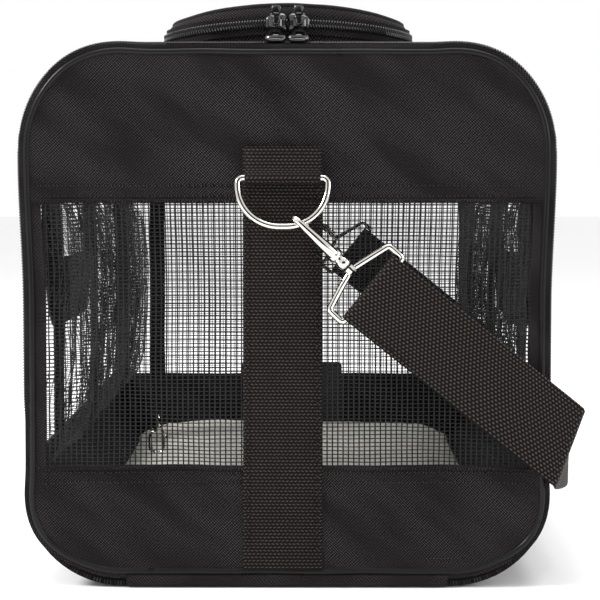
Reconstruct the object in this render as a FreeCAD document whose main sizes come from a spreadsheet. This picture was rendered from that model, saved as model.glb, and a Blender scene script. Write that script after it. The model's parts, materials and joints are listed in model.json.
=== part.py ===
import FreeCAD, Part
import math
import os
import re
import Sketcher

# Soft-sided pet carrier bag: a padded fabric box with mesh windows, a drop-down zipped end door,
# a raised zipped hatch in the roof, two carrying handles and a clip-on shoulder strap.
# Millimetres. +Z is up, +X is the strap side, -Y is the end door. The origin is the centre of the underside.

doc = FreeCAD.newDocument("pet_carrier")

SIZES = [
    ("bag_length", 508, "overall length, door face to far end"),
    ("bag_width", 254, "overall width over the side walls"),
    ("shell_height", 262, "height of the roof above the underside"),
    ("roof_radius", 52, "radius where a side wall turns into the roof"),
    ("base_radius", 48, "radius where a side wall turns into the base"),
    ("wall", 2.4, "thickness of the padded fabric"),
    ("mesh_gauge", 1.2, "thickness of a mesh window"),
    ("window_low", 58, "height of the windows' lower edge"),
    ("window_high", 184, "height of the windows' upper edge"),
    ("base_half", "=bag_width / 2 - base_radius", "half width of the stiffened base panel"),
    ("piping_radius", 2.4, "radius of the piping bead"),
    ("panel_gauge", 2, "thickness of an end panel"),
    ("tape_gauge", 0.4, "thickness of the door's zip tape"),
    ("zip_width", 10, "width of the zip behind the door"),
    ("zip_gauge", 0.8, "thickness of a zip tape on the wall"),
    ("coil_radius", 0.9, "radius of the zip coil"),
    ("door_gap", 0.5, "gap between the door and the carrier"),
    ("frame_wire", 1, "radius of the spring wire in an end"),
    ("hatch_half", 60, "half width of the hatch collar"),
    ("hatch_length", 434, "length of the hatch collar"),
    ("hatch_radius", 28, "corner radius of the hatch collar"),
    ("collar_wall", 2, "thickness of the hatch collar"),
    ("collar_top", 270.8, "height of the collar's upper edge"),
    ("lid_gap", 0.5, "gap between collar and lid"),
    ("lid_edge", 4, "height of the lid's side edge"),
    ("lid_crown", 5.6, "rise of the lid's middle over its edges"),
    ("lid_border", 13, "width of the lid's fabric border"),
    ("webbing_width", 38, "width of the strap and the end webbing"),
    ("webbing_gauge", 1.4, "thickness of the webbing"),
    ("webbing_offset", -2, "place of the end webbing's middle"),
    ("webbing_high", 210, "height of the end webbing's top"),
    ("ring_half", 21.4, "half width of a D-ring, to its wire's middle"),
    ("ring_flat", 1.6, "half width of a D-ring's flat foot"),
    ("ring_straight", 1, "length of a D-ring's straight sides"),
    ("ring_drop", "=ring_straight + 2 * ring_half - ring_flat - loop_half - 0.8", "height of a D-ring, to its wire's middle"),
    ("ring_wire", 1.6, "radius of a D-ring's wire"),
    ("ring_height", 196, "height of a D-ring's bar"),
    ("ring_stand", 5.2, "distance of a D-ring's bar from the end panel"),
    ("ring_tilt", 12, "lean of a D-ring, in degrees"),
    ("loop_half", 18, "half width of the loop that holds a D-ring"),
    ("loop_gap", 0.3, "clearance of a D-ring's bar in its loop"),
    ("hook_seat", 21.7, "angle round a D-ring's bend at which its hook hangs, in degrees"),
    ("hook_slack", 0.165, "how far a hook hangs below its D-ring's wire"),
    ("clip_x", "=webbing_offset + ring_flat + (ring_half - ring_flat) * sin(hook_seat) + hook_length * cos(clip_slope)",
     "place of the swivel across the bag"),
    ("clip_z", "=ring_height - (ring_drop - ring_half + ring_flat + (ring_half - ring_flat) * cos(hook_seat)) * cos(ring_tilt)"
     " - hook_length * sin(clip_slope) - hook_slack", "height of the swivel"),
    ("clip_stand", 9.7, "distance of the snap hook's middle from the end panel"),
    ("clip_slope", 43, "slope of the snap hook below level, in degrees"),
    ("hook_length", 29.5, "swivel to the D-ring's wire"),
    ("hook_bend", 5, "radius of the hook's bend, to its wire's middle"),
    ("hook_wire", 1.9, "radius of the hook's wire"),
    ("frame_depth", 12.3, "depth of the strap frame"),
    ("frame_half", 20.8, "half width of the strap frame, to its wire's middle"),
    ("frame_bar", 1.7, "radius of the strap frame's wire"),
    ("strap_gauge", 1.6, "thickness of the shoulder strap"),
    ("strap_slope", 39, "slope of the shoulder strap below level, in degrees"),
    ("strap_fold", 20.4, "lean of the fold line at the bag's edge, in degrees"),
    ("strap_run", 121, "length of the strap from its frame to the bag's edge"),
    ("strap_stand", 12.4, "distance of the side strap from the side wall"),
    ("strap_low", 43, "height of the side strap's lower edge"),
    ("bed_high", 24, "height of the bed's top"),
    ("bed_gap", 21, "gap between the bed and the outside of the side wall"),
    ("bed_half", "=bag_width / 2 - bed_gap", "half width of the bed"),
    ("bed_length", 470, "length of the bed"),
    ("board_gauge", 3, "thickness of the base board"),
    ("handle_span", 200, "distance between a handle's legs"),
    ("handle_drop", 98, "drop of a handle below its stitching"),
    ("handle_gauge", 2, "thickness of a handle's webbing"),
    ("handle_stand", 2.2, "distance of a dropped handle from the side wall"),
    ("tether_gap", 45, "gap between the safety tether and the outside of the side wall"),
    ("tether_x", "=tether_gap - bag_width / 2", "place of the safety tether across the bag"),
    ("tether_y", 44, "place of the safety tether along the bag"),
    ("tether_width", 9, "width of the safety tether"),
    ("slider_length", 9, "length of a zip slider"),
    ("pull_length", 10, "length of a zip pull"),
]

sheet = doc.addObject("Spreadsheet::Sheet", "Sizes")
for row, (alias, value, note) in enumerate(SIZES, 1):
    sheet.set(f"A{row}", note)
    sheet.setAlias(f"B{row}", alias)
for row, (alias, value, note) in enumerate(SIZES, 1):
    sheet.set(f"B{row}", str(value))
doc.recompute()
ALIASES = re.compile(r"\b(" + "|".join(alias for alias, value, note in SIZES) + r")\b")

# Heights and places that several pieces share.
DOOR_BACK = "(-bag_length / 2 + 2 * piping_radius)"
DOOR_FACE = "(-bag_length / 2 + piping_radius - panel_gauge / 4)"
SHELL_START = f"({DOOR_BACK} + door_gap)"
ZIP_END = f"({SHELL_START} + zip_width)"
SHELL_END = "(bag_length / 2 - 2 * piping_radius)"
FAR_FACE = "(bag_length / 2 - piping_radius + panel_gauge / 4)"
INSET = "(2 * piping_radius)"
HALF = "(bag_width / 2)"
ROOF_EDGE = "(shell_height - roof_radius)"
LID_LOW = "(collar_top + lid_gap)"
BEYOND = "400"

pieces = {}


def sized(text):
    """Point every size's name in an expression at the sheet."""
    return ALIASES.sub(r"Sizes.\1", str(text))


def number(text):
    return float(sheet.evalExpression(sized(text)))


def bind(thing, prop, text):
    thing.setExpression(prop, sized(text))


def place(thing, x="0", y="0", z="0", axis=(0, 0, 1), angle=0):
    thing.Placement = FreeCAD.Placement(FreeCAD.Vector(), FreeCAD.Rotation(FreeCAD.Vector(*axis), angle))
    for name, text in (("x", x), ("y", y), ("z", z)):
        bind(thing, "Placement.Base." + name, text)
    return thing


def keep(name, thing):
    """Make an object one of the carrier's own pieces."""
    thing.Label = name
    pieces[name] = thing
    return thing


def box(name, x, y, z):
    """A block between two limits along each axis."""
    block = doc.addObject("Part::Box", name)
    for prop, (low, high) in (("Length", x), ("Width", y), ("Height", z)):
        bind(block, prop, f"({high}) - ({low})")
    return place(block, x[0], y[0], z[0])


def rod(name, radius, length, x="0", y="0", z="0", axis=(0, 0, 1), angle=0):
    cylinder = doc.addObject("Part::Cylinder", name)
    bind(cylinder, "Radius", radius)
    bind(cylinder, "Height", length)
    return place(cylinder, x, y, z, axis, angle)


def cross_rod(name, radius, x, y, z):
    """A cylinder that lies along X between two limits."""
    return rod(name, radius, f"({x[1]}) - ({x[0]})", x[0], y, z, (0, 1, 0), 90)


def bend(name, radius, wire, sweep, x, y, z, rotation):
    """A part of a torus, which starts on its own X axis."""
    torus = doc.addObject("Part::Torus", name)
    bind(torus, "Radius1", radius)
    bind(torus, "Radius2", wire)
    torus.Angle3 = sweep
    torus.Placement = FreeCAD.Placement(FreeCAD.Vector(), rotation)
    for prop, text in (("x", x), ("y", y), ("z", z)):
        bind(torus, "Placement.Base." + prop, text)
    return torus


def fuse(name, things):
    union = doc.addObject("Part::MultiFuse", name)
    union.Shapes = things
    return union


def cut(name, base, tool):
    difference = doc.addObject("Part::Cut", name)
    difference.Base = base
    difference.Tool = tool
    return difference


def common(name, first, second):
    overlap = doc.addObject("Part::Common", name)
    overlap.Base = first
    overlap.Tool = second
    return overlap


def outline(sketch, left, right, low, high, low_radius, high_radius):
    """Draw a rounded rectangle whose two lower and two upper corners have their own radii."""
    x0, x1, z0, z1 = number(left), number(right), number(low), number(high)
    r0, r1 = number(low_radius), number(high_radius)
    first = sketch.GeometryCount
    corners = [(x1 - r0, z0 + r0, r0, 270), (x1 - r1, z1 - r1, r1, 0), (x0 + r1, z1 - r1, r1, 90), (x0 + r0, z0 + r0, r0, 180)]
    ends = []
    for x, z, radius, start in corners:
        for turn in (start, start + 90):
            angle = math.radians(turn)
            ends.append(FreeCAD.Vector(x + radius * math.cos(angle), z + radius * math.sin(angle), 0))
    for i, (x, z, radius, start) in enumerate(corners):
        sketch.addGeometry(Part.LineSegment(ends[2 * i - 1], ends[2 * i]))
        circle = Part.Circle(FreeCAD.Vector(x, z, 0), FreeCAD.Vector(0, 0, 1), radius)
        sketch.addGeometry(Part.ArcOfCircle(circle, math.radians(start), math.radians(start + 90)))
    for i in range(8):
        sketch.addConstraint(Sketcher.Constraint("Tangent", first + i, 2, first + (i + 1) % 8, 1))
    for i, kind in enumerate(("Horizontal", "Vertical", "Horizontal", "Vertical")):
        sketch.addConstraint(Sketcher.Constraint(kind, first + 2 * i))
    limits = [("DistanceY", 0, z0, low), ("DistanceX", 2, x1, right), ("DistanceY", 4, z1, high), ("DistanceX", 6, x0, left)]
    for kind, edge, value, text in limits:
        index = sketch.addConstraint(Sketcher.Constraint(kind, first + edge, 1, value))
        sketch.setExpression(f"Constraints[{index}]", sized(text))
    for edge, value, text in ((1, r0, low_radius), (3, r1, high_radius), (5, r1, high_radius), (7, r0, low_radius)):
        index = sketch.addConstraint(Sketcher.Constraint("Radius", first + edge, value))
        sketch.setExpression(f"Constraints[{index}]", sized(text))


def slab(name, plane, start, end, *outlines):
    """Pad rounded rectangles between two limits along Y (a section) or along Z (a plan)."""
    body = doc.addObject("PartDesign::Body", name)
    sketch = body.newObject("Sketcher::SketchObject", name + "_sketch")
    origin = [feature for feature in body.Origin.OriginFeatures if feature.Role == plane][0]
    sketch.AttachmentSupport = [(origin, "")]
    sketch.MapMode = "FlatFace"
    across = plane == "XZ_Plane"
    bind(sketch, "AttachmentOffset.Base.z", f"-({start})" if across else start)
    for shape in outlines:
        outline(sketch, *shape)
    pad = body.newObject("PartDesign::Pad", name + "_pad")
    pad.Profile = sketch
    bind(pad, "Length", f"({end}) - ({start})")
    pad.Reversed = across
    body.Tip = pad
    return body


def section(inset):
    """The carrier's outline seen along its length, moved inwards."""
    return (f"-{HALF} + {inset}", f"{HALF} - {inset}", inset, f"shell_height - {inset}",
            f"base_radius - {inset}", f"roof_radius - {inset}")


def plan(half_width, length, radius):
    """A rounded rectangle seen from above, centred on the bag."""
    return f"-({half_width})", half_width, f"-({length}) / 2", f"({length}) / 2", radius, radius


def bead(name, y, wire, left, right, low, high, low_radius, high_radius):
    """A round bar bent to a rounded rectangle that stands across the bag."""
    turned = FreeCAD.Rotation(FreeCAD.Vector(1, 0, 0), 90)
    parts = []
    for i, (z, radius) in enumerate(((low, low_radius), (high, high_radius))):
        parts.append(cross_rod(f"{name}_across{i}", wire, (f"({left}) + ({radius})", f"({right}) - ({radius})"), y, z))
    for i, x in enumerate((left, right)):
        length = f"({high}) - ({high_radius}) - ({low}) - ({low_radius})"
        parts.append(rod(f"{name}_upright{i}", wire, length, x, y, f"({low}) + ({low_radius})"))
    corners = [(right, "-", low, "+", low_radius, 270), (right, "-", high, "-", high_radius, 0),
               (left, "+", high, "-", high_radius, 90), (left, "+", low, "+", low_radius, 180)]
    for i, (x, x_sign, z, z_sign, radius, start) in enumerate(corners):
        spin = FreeCAD.Rotation(FreeCAD.Vector(0, 0, 1), start)
        centre = f"({x}) {x_sign} ({radius})", y, f"({z}) {z_sign} ({radius})"
        parts.append(bend(f"{name}_corner{i}", radius, wire, 90, *centre, turned * spin))
    return fuse(name, parts)


def bead_section(name, y, wire, inset):
    return bead(name, y, wire, *section(inset))


def ribbon(name, stations, gauge):
    """A flat strap through stations of (middle, direction across, direction through)."""
    wires = []
    for middle, across, through in stations:
        side = FreeCAD.Vector(across).normalize() * (number("webbing_width") / 2)
        lift = FreeCAD.Vector(through).normalize() * (gauge / 2)
        corners = [middle - side - lift, middle + side - lift, middle + side + lift, middle - side + lift]
        wires.append(Part.makePolygon(corners + corners[:1]))
    feature = doc.addObject("Part::Feature", name)
    feature.Shape = Part.makeLoft(wires, True, True)
    return feature


def build_shell():
    """The padded fabric tube, cut into the panels that it is sewn from, and its mesh windows."""
    hole = slab("hatch_hole", "XY_Plane", "shell_height / 2", BEYOND, plan("hatch_half", "hatch_length", "hatch_radius"))

    def panel(name, start, x, z, open_roof=False, y=("-bag_length", "bag_length")):
        tube = slab(name + "_tube", "XZ_Plane", start, SHELL_END, section("0"), section("wall"))
        region = box(name + "_region", x, y, z)
        piece = common(name, tube, region)
        if open_roof:
            piece = cut(name + "_open", piece, hole)
        return keep(name, piece)

    panel("base_panel", SHELL_START, ("-base_half", "base_half"), ("-10", "window_low"))
    for side, x in (("left", (f"-{BEYOND}", "-base_half")), ("right", ("base_half", BEYOND))):
        panel("lower_band_" + side, SHELL_START, x, ("-10", "window_low"))
    for side, x in (("left", (f"-{BEYOND}", "-hatch_half")), ("right", ("hatch_half", BEYOND))):
        panel("top_panel_" + side, ZIP_END, x, ("window_high", BEYOND), True)
    for name, y in (("roof_strip_near", (f"-{BEYOND}", "0")), ("roof_strip_far", ("0", BEYOND))):
        panel(name, ZIP_END, ("-hatch_half", "hatch_half"), ("window_high", BEYOND), True, y)
    for side, x in (("left", (f"-{HALF}", f"-{HALF} + mesh_gauge")), ("right", (f"{HALF} - mesh_gauge", HALF))):
        keep("side_mesh_" + side, box("side_mesh_" + side, x, (ZIP_END, SHELL_END), ("window_low", "window_high")))


def build_hatch():
    """The raised collar in the roof, its zip, and the crowned lid that the zip closes."""
    inner = plan("hatch_half - collar_wall", "hatch_length - 2 * collar_wall", "hatch_radius - collar_wall")
    outer = plan("hatch_half", "hatch_length", "hatch_radius")
    keep("hatch_collar", slab("hatch_collar", "XY_Plane", "shell_height - wall", "collar_top", outer, inner))
    tape = plan("hatch_half + zip_gauge", "hatch_length + 2 * zip_gauge", "hatch_radius + zip_gauge")
    keep("hatch_zip", slab("hatch_zip", "XY_Plane", "collar_top - 5", "collar_top", tape, outer))

    crown = doc.addObject("Part::Cylinder", "lid_crown_outer")
    hollow = doc.addObject("Part::Cylinder", "lid_crown_inner")
    arch = "((hatch_half ^ 2 + lid_crown ^ 2) / (2 * lid_crown))"
    for cylinder, radius in ((crown, arch), (hollow, f"{arch} - collar_wall")):
        bind(cylinder, "Radius", radius)
        bind(cylinder, "Height", "hatch_length")
        place(cylinder, "0", "hatch_length / 2", f"{LID_LOW} + lid_edge + lid_crown - {arch}", (1, 0, 0), 90)
    wall = slab("lid_wall", "XY_Plane", LID_LOW, f"{LID_LOW} + lid_edge + lid_crown + 1", outer, inner)
    edge = common("lid_edge_band", wall, crown)
    arched = cut("lid_arched", crown, hollow)
    above = slab("lid_above", "XY_Plane", f"{LID_LOW} + lid_edge - collar_wall", BEYOND, outer)
    roof = common("lid_roof", arched, above)
    window = slab("lid_window", "XY_Plane", LID_LOW, BEYOND,
                  plan("hatch_half - lid_border", "hatch_length - 2 * lid_border", "hatch_radius - lid_border"))
    border = cut("lid_border_roof", roof, window)
    keep("lid_rim", fuse("lid_rim", [border, edge]))
    keep("lid_mesh", common("lid_mesh", roof, window))


def build_end_panels(prefix, face, back, tape_side):
    """One end of the bag: three panels inside a ring of piping, and a spring wire behind them."""
    levels = (("bottom_panel", INSET, "window_low"), ("mesh", "window_low", "window_high"),
              ("top_panel", "window_high", f"shell_height - {INSET}"))
    for name, low, high in levels:
        start, end = (face, f"{face} + panel_gauge") if tape_side > 0 else (f"{face} - panel_gauge", face)
        plate = slab(f"{prefix}_{name}_plate", "XZ_Plane", start, end, section(INSET))
        region = box(f"{prefix}_{name}_region", (f"-{BEYOND}", BEYOND), (f"-{BEYOND}", BEYOND), (low, high))
        keep(f"{prefix}_{name}", common(f"{prefix}_{name}", plate, region))
    middle = f"{back} - {tape_side} * piping_radius"
    keep(f"{prefix}_piping", bead_section(f"{prefix}_piping", middle, "piping_radius", "piping_radius"))
    wire = f"{back} + {tape_side} * frame_wire"
    keep(f"{prefix}_frame_wire", bead_section(f"{prefix}_frame_wire", wire, "frame_wire", "(2 * piping_radius + 6)"))


def build_zips():
    """The door's zip: a tape on the door, and a tape with the coil on the carrier's open edge."""
    ring = slab("door_tape_ring", "XZ_Plane", f"{DOOR_BACK} - tape_gauge", DOOR_BACK,
                section("(2 * piping_radius + 0.2)"), section("(2 * piping_radius + 4.5)"))
    upper = box("door_tape_region", (f"-{BEYOND}", BEYOND), (f"-{BEYOND}", "0"), ("window_low", BEYOND))
    keep("end_door_zip", common("end_door_zip", ring, upper))
    tape = slab("end_zip_tape", "XZ_Plane", SHELL_START, ZIP_END, section("0"), section("zip_gauge"))
    coil = slab("end_zip_coil", "XZ_Plane", f"{SHELL_START} + 4", f"{SHELL_START} + 4 + 2 * coil_radius",
                section("(-coil_radius)"), section("0"))
    region = box("end_zip_region", (f"-{BEYOND}", BEYOND), (f"-{BEYOND}", "0"), ("window_low", BEYOND))
    keep("end_zip", common("end_zip", fuse("end_zip_strip", [tape, coil]), region))


def build_sliders():
    """Two sliders meet at the middle of each zip, each with a pull."""
    zip_middle = f"({SHELL_START} + 4 + coil_radius)"
    for side, sign in (("left", -1), ("right", 1)):
        middle = f"({sign} * (slider_length / 2 + 1))"
        span = (f"{middle} - slider_length / 2", f"{middle} + slider_length / 2")
        low = "(shell_height + coil_radius + 0.3)"
        plate = box(f"end_slider_{side}_plate", span, (f"{zip_middle} - 3", f"{zip_middle} + 3"), (low, f"{low} + 1.4"))
        bridge = box(f"end_slider_{side}_bridge", (f"{middle} - 1", f"{middle} + 1"),
                     (f"{zip_middle} - 2.5", f"{zip_middle} + 2.5"), (f"{low} + 1.4", f"{low} + 3.2"))
        keep(f"end_slider_{side}", fuse(f"end_slider_{side}", [plate, bridge]))
        tab = box(f"end_pull_{side}", (f"{middle} - 2.4", f"{middle} + 2.4"),
                  (f"{zip_middle} + 3.4", f"{zip_middle} + 3.4 + pull_length"), (f"{low} + 0.2", f"{low} + 1.4"))
        keep(f"end_pull_{side}", tab)
        face = "(-hatch_length / 2 - zip_gauge - 0.4)"
        body = box(f"hatch_slider_{side}", span, (f"{face} - 3", face), ("collar_top - 3", "collar_top + 4"))
        keep(f"hatch_slider_{side}", body)
        lift = "collar_top - 1"
        tag = box(f"hatch_pull_{side}", (f"{middle} - 2.4", f"{middle} + 2.4"),
                  (f"{face} - 4.6", f"{face} - 3.4"), (lift, f"{lift} + pull_length"))
        keep(f"hatch_pull_{side}", tag)


def build_end_webbing(prefix, sign, face):
    """The webbing sewn up the middle of an end, and the folded loop that holds the D-ring."""
    left = "(webbing_offset - webbing_width / 2)"
    right = "(webbing_offset + webbing_width / 2)"

    def band(name, x, near, depth, z):
        start, end = f"{face} + ({sign}) * ({near})", f"{face} + ({sign}) * ({near} + {depth})"
        return box(name, x, (start, end) if sign > 0 else (end, start), z)

    keep(f"{prefix}_webbing", band(f"{prefix}_webbing", (left, right), "0", "webbing_gauge", (INSET, "webbing_high")))
    hole = "(ring_wire + loop_gap)"
    limits = ("webbing_offset - loop_half", "webbing_offset + loop_half")
    fold = band(f"{prefix}_fold", limits, "webbing_gauge", "2.4", ("ring_height", "webbing_high"))
    bar_y = f"{face} + ({sign}) * ring_stand"
    tube = cross_rod(f"{prefix}_tube", f"{hole} + webbing_gauge", limits, bar_y, "ring_height")
    bore = cross_rod(f"{prefix}_bore", hole, (f"{limits[0]} - 1", f"{limits[1]} + 1"), bar_y, "ring_height")
    keep(f"{prefix}_ring_loop", cut(f"{prefix}_ring_loop", fuse(f"{prefix}_loop_solid", [fold, tube]), bore))

    ring = bead(f"{prefix}_ring", "0", "ring_wire", "-ring_half", "ring_half", "-ring_drop", "0",
                "ring_half - ring_flat", "ring_half - loop_half - 0.8")
    place(ring, "webbing_offset", bar_y, "ring_height", (1, 0, 0), sign * number("ring_tilt"))
    keep(f"{prefix}_ring", ring)


def build_clip(prefix, sign, face):
    """The snap hook, its gate and the frame that the shoulder strap is sewn round."""
    slope = number("clip_slope")
    middle = f"{face} + ({sign}) * clip_stand"

    def settle(name, thing):
        place(thing, "clip_x", middle, "clip_z", (0, 1, 0), slope)
        return keep(name, thing)

    loop = bead(f"{prefix}_loop_wire", "0", "frame_bar", "4.2", "4.2 + frame_depth", "-frame_half", "frame_half", "3", "3")
    neck = cross_rod(f"{prefix}_neck", "2.6", ("0.4", "4.2"), "0", "0")
    settle(f"{prefix}_strap_frame", fuse(f"{prefix}_strap_frame", [loop, neck]))

    front, back = f"({sign}) * hook_bend", f"-({sign}) * hook_bend"
    barrel = cross_rod(f"{prefix}_barrel", "3.4", ("-8", "0"), "0", "0")
    block = box(f"{prefix}_block", ("-10", "-6"), ("-hook_bend - hook_wire", "hook_bend + hook_wire"), ("-2.6", "2.6"))
    stem = cross_rod(f"{prefix}_stem", "hook_wire", ("-hook_length", "-9"), front, "0")
    turn = FreeCAD.Rotation(FreeCAD.Vector(0, 0, 1), 90)
    crook = bend(f"{prefix}_crook", "hook_bend", "hook_wire", 180, "-hook_length", "0", "0", turn)
    tip = cross_rod(f"{prefix}_tip", "hook_wire", ("-hook_length", "-hook_length + 5"), back, "0")
    settle(f"{prefix}_hook", fuse(f"{prefix}_hook", [barrel, block, stem, crook, tip]))
    bar = cross_rod(f"{prefix}_gate_bar", "1.3", ("-hook_length + 5.5", "-10.5"), back, "0")
    stud = rod(f"{prefix}_gate_stud", "1", "4.6", "-13.6", back, "-2.3")
    settle(f"{prefix}_gate", fuse(f"{prefix}_gate", [bar, stud]))


def build_strap():
    """The shoulder strap: from each end's frame down to the bag's edge, and along the side."""
    gauge = number("strap_gauge")
    slope = math.radians(number("strap_slope"))
    along = FreeCAD.Vector(math.cos(slope), 0, -math.sin(slope))
    across = FreeCAD.Vector(math.sin(slope), 0, math.cos(slope))
    tilt = math.radians(number("clip_slope"))
    reach = number("4.2 + frame_depth")
    plumb = FreeCAD.Vector(0, 0, 1)
    lean = math.radians(number("strap_fold"))
    fold_line = FreeCAD.Vector(math.sin(lean), 0, math.cos(lean))
    side_x = number(f"{HALF} + strap_stand")
    side_z = number("strap_low + webbing_width / 2")
    for prefix, name, sign in (("near", "strap_front", -1), ("far", "strap_back", 1)):
        face = number(f"{sign} * {FAR_FACE}")
        outwards = FreeCAD.Vector(0, sign, 0)
        bar = FreeCAD.Vector(number("clip_x") + reach * math.cos(tilt), face + sign * number("clip_stand"),
                             number("clip_z") - reach * math.sin(tilt))
        start = bar + along * number("frame_bar + strap_gauge + 0.6")
        end = bar + along * number("strap_run")
        keep(name, ribbon(name, [(start, across, outwards), (end, fold_line, outwards)], gauge))
    corner = number("bag_length / 2") + 5
    stations = []
    for sign in (-1, 1):
        ends = [(FreeCAD.Vector(side_x, sign * (corner - 14), side_z), FreeCAD.Vector(1, 0, 0)),
                (FreeCAD.Vector(side_x - 1.5, sign * (corner - 3), side_z + 2), FreeCAD.Vector(2, sign, 0))]
        ends = [(middle, plumb, through) for middle, through in ends]
        stations = stations + ends if sign > 0 else ends[::-1]
    keep("strap_side", ribbon("strap_side", stations, gauge))
    middle = (f"{HALF} + strap_stand", "0", "strap_low + webbing_width / 2")
    outer = box("adjuster_outer", (f"{middle[0]} - 2.6", f"{middle[0]} + 2.6"), ("-15", "15"),
                (f"{middle[2]} - webbing_width / 2 - 4", f"{middle[2]} + webbing_width / 2 + 4"))
    slot = box("adjuster_slot", (f"{middle[0]} - 1.2", f"{middle[0]} + 1.2"), ("-20", "20"),
               (f"{middle[2]} - webbing_width / 2 - 0.6", f"{middle[2]} + webbing_width / 2 + 0.6"))
    keep("strap_adjuster", cut("strap_adjuster", outer, slot))


def build_handles():
    """A webbing loop on each side, stitched at the top of the side wall, and the grip on one of them."""
    for side, sign in (("left", -1), ("right", 1)):
        near = f"({sign}) * ({HALF} + handle_stand)"
        far = f"({sign}) * ({HALF} + handle_stand + handle_gauge)"
        x = (near, far) if sign > 0 else (far, near)
        half = "(handle_span / 2 + webbing_width / 2)"
        top = f"({ROOF_EDGE} - 2)"
        low = f"({ROOF_EDGE} - handle_drop)"
        outer = box(f"handle_{side}_outer", x, (f"-{half}", half), (low, top))
        inner = box(f"handle_{side}_inner", (f"-{BEYOND}", BEYOND), (f"-{half} + webbing_width", f"{half} - webbing_width"),
                    (f"{low} + webbing_width", f"{top} + 10"))
        keep(f"handle_{side}", cut(f"handle_{side}", outer, inner))
        bands = []
        for i, y in enumerate(("-handle_span / 2", "handle_span / 2")):
            x_band = (HALF, f"{HALF} + webbing_gauge") if sign > 0 else (f"-{HALF} - webbing_gauge", f"-{HALF}")
            bands.append(box(f"side_webbing_{side}{i}", x_band, (f"{y} - webbing_width / 2", f"{y} + webbing_width / 2"),
                             ("base_radius", ROOF_EDGE)))
        keep(f"side_webbing_{side}", fuse(f"side_webbing_{side}", bands))
    x = (f"{HALF} + handle_stand - 1", f"{HALF} + handle_stand + handle_gauge + 1")
    low = f"({ROOF_EDGE} - handle_drop)"
    sleeve = box("handle_wrap_outer", x, ("-55", "55"), (f"{low} - 2", f"{low} + webbing_width + 2"))
    core = box("handle_wrap_core", (f"{HALF} + handle_stand", f"{HALF} + handle_stand + handle_gauge"), ("-60", "60"),
               (low, f"{low} + webbing_width"))
    keep("handle_wrap", cut("handle_wrap", sleeve, core))


def build_inside():
    """The base board, the bed, the safety tether with its clip, and the plain patch on the far end."""
    keep("base_board", slab("base_board", "XY_Plane", "wall", "wall + board_gauge", plan("base_half", "bed_length", "12")))
    bed = ("-bed_half", "bed_half", "wall + board_gauge + 0.2", "bed_high", "bed_high - wall - board_gauge - 2.4", "2")
    keep("bed_pad", slab("bed_pad", "XZ_Plane", "-bed_length / 2", "bed_length / 2", bed))
    half = "tether_width / 2"
    strip = box("tether", (f"tether_x - {half}", f"tether_x + {half}"), ("tether_y", "tether_y + 1.4"), ("66", "shell_height - wall - 2.2"))
    keep("tether", strip)
    shank = box("tether_clip_shank", (f"tether_x - {half}", f"tether_x + {half}"), ("tether_y - 2", "tether_y + 3.4"), ("54", "66"))
    eye = bead("tether_clip_eye", "tether_y + 0.7", "1.3", "tether_x - 5", "tether_x + 5", "36", "54", "4.5", "4.5")
    keep("tether_clip", fuse("tether_clip", [shank, eye]))
    inside = f"({FAR_FACE} - panel_gauge)"
    patch = box("far_patch", ("webbing_offset - 35.5", "webbing_offset + 35.5"), (f"{inside} - 0.8", inside), ("14", "66"))
    keep("far_patch", patch)


def build_all():
    build_shell()
    build_hatch()
    build_end_panels("near", DOOR_FACE, DOOR_BACK, 1)
    build_end_panels("far", FAR_FACE, SHELL_END, -1)
    build_zips()
    build_sliders()
    for prefix, sign, face in (("near", -1, DOOR_FACE), ("far", 1, FAR_FACE)):
        build_end_webbing(prefix, sign, face)
        build_clip(prefix, sign, face)
    build_strap()
    build_handles()
    build_inside()
    doc.recompute()


def check_and_write():
    """Refuse to write anything while any object or any piece is faulty."""
    faults = [thing.Name for thing in doc.Objects if {"Invalid", "Error"} & set(thing.State)]
    faults += [name for name, thing in pieces.items() if thing.Shape.isNull() or not thing.Shape.isValid()]
    if faults:
        raise RuntimeError("faulty: " + ", ".join(faults))
    os.makedirs("parts", exist_ok=True)
    for name, thing in pieces.items():
        thing.Shape.exportStep(f"parts/{name}.step")
        size = thing.Shape.BoundBox
        print(f"{name:20s} {len(thing.Shape.Solids)} solid  {thing.Shape.Volume:10.0f} mm3  "
              f"x {size.XMin:7.1f} {size.XMax:7.1f}  y {size.YMin:7.1f} {size.YMax:7.1f}  z {size.ZMin:6.1f} {size.ZMax:6.1f}")
    print(len(pieces), "pieces")


build_all()
check_and_write()
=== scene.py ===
import json
import math

import bpy
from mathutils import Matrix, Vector, noise


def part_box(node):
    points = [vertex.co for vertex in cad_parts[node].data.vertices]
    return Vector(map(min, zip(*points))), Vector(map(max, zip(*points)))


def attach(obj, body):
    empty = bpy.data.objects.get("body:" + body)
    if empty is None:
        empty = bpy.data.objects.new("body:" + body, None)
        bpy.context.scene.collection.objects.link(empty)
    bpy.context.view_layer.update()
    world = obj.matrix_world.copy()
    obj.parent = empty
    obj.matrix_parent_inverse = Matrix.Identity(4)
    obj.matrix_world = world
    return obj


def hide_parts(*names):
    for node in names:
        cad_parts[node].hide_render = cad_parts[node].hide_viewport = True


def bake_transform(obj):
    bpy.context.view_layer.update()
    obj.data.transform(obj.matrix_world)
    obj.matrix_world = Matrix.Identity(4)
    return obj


bl_info = {
    "name": "Pet carrier bag",
    "version": (1, 0, 0),
    "blender": (4, 5, 0),
    "location": "3D View > Sidebar > Carrier",
    "description": "Sews the fabric, mesh, zips, webbing and hardware of a soft pet carrier round its frame",
    "category": "Object",
}

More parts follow.
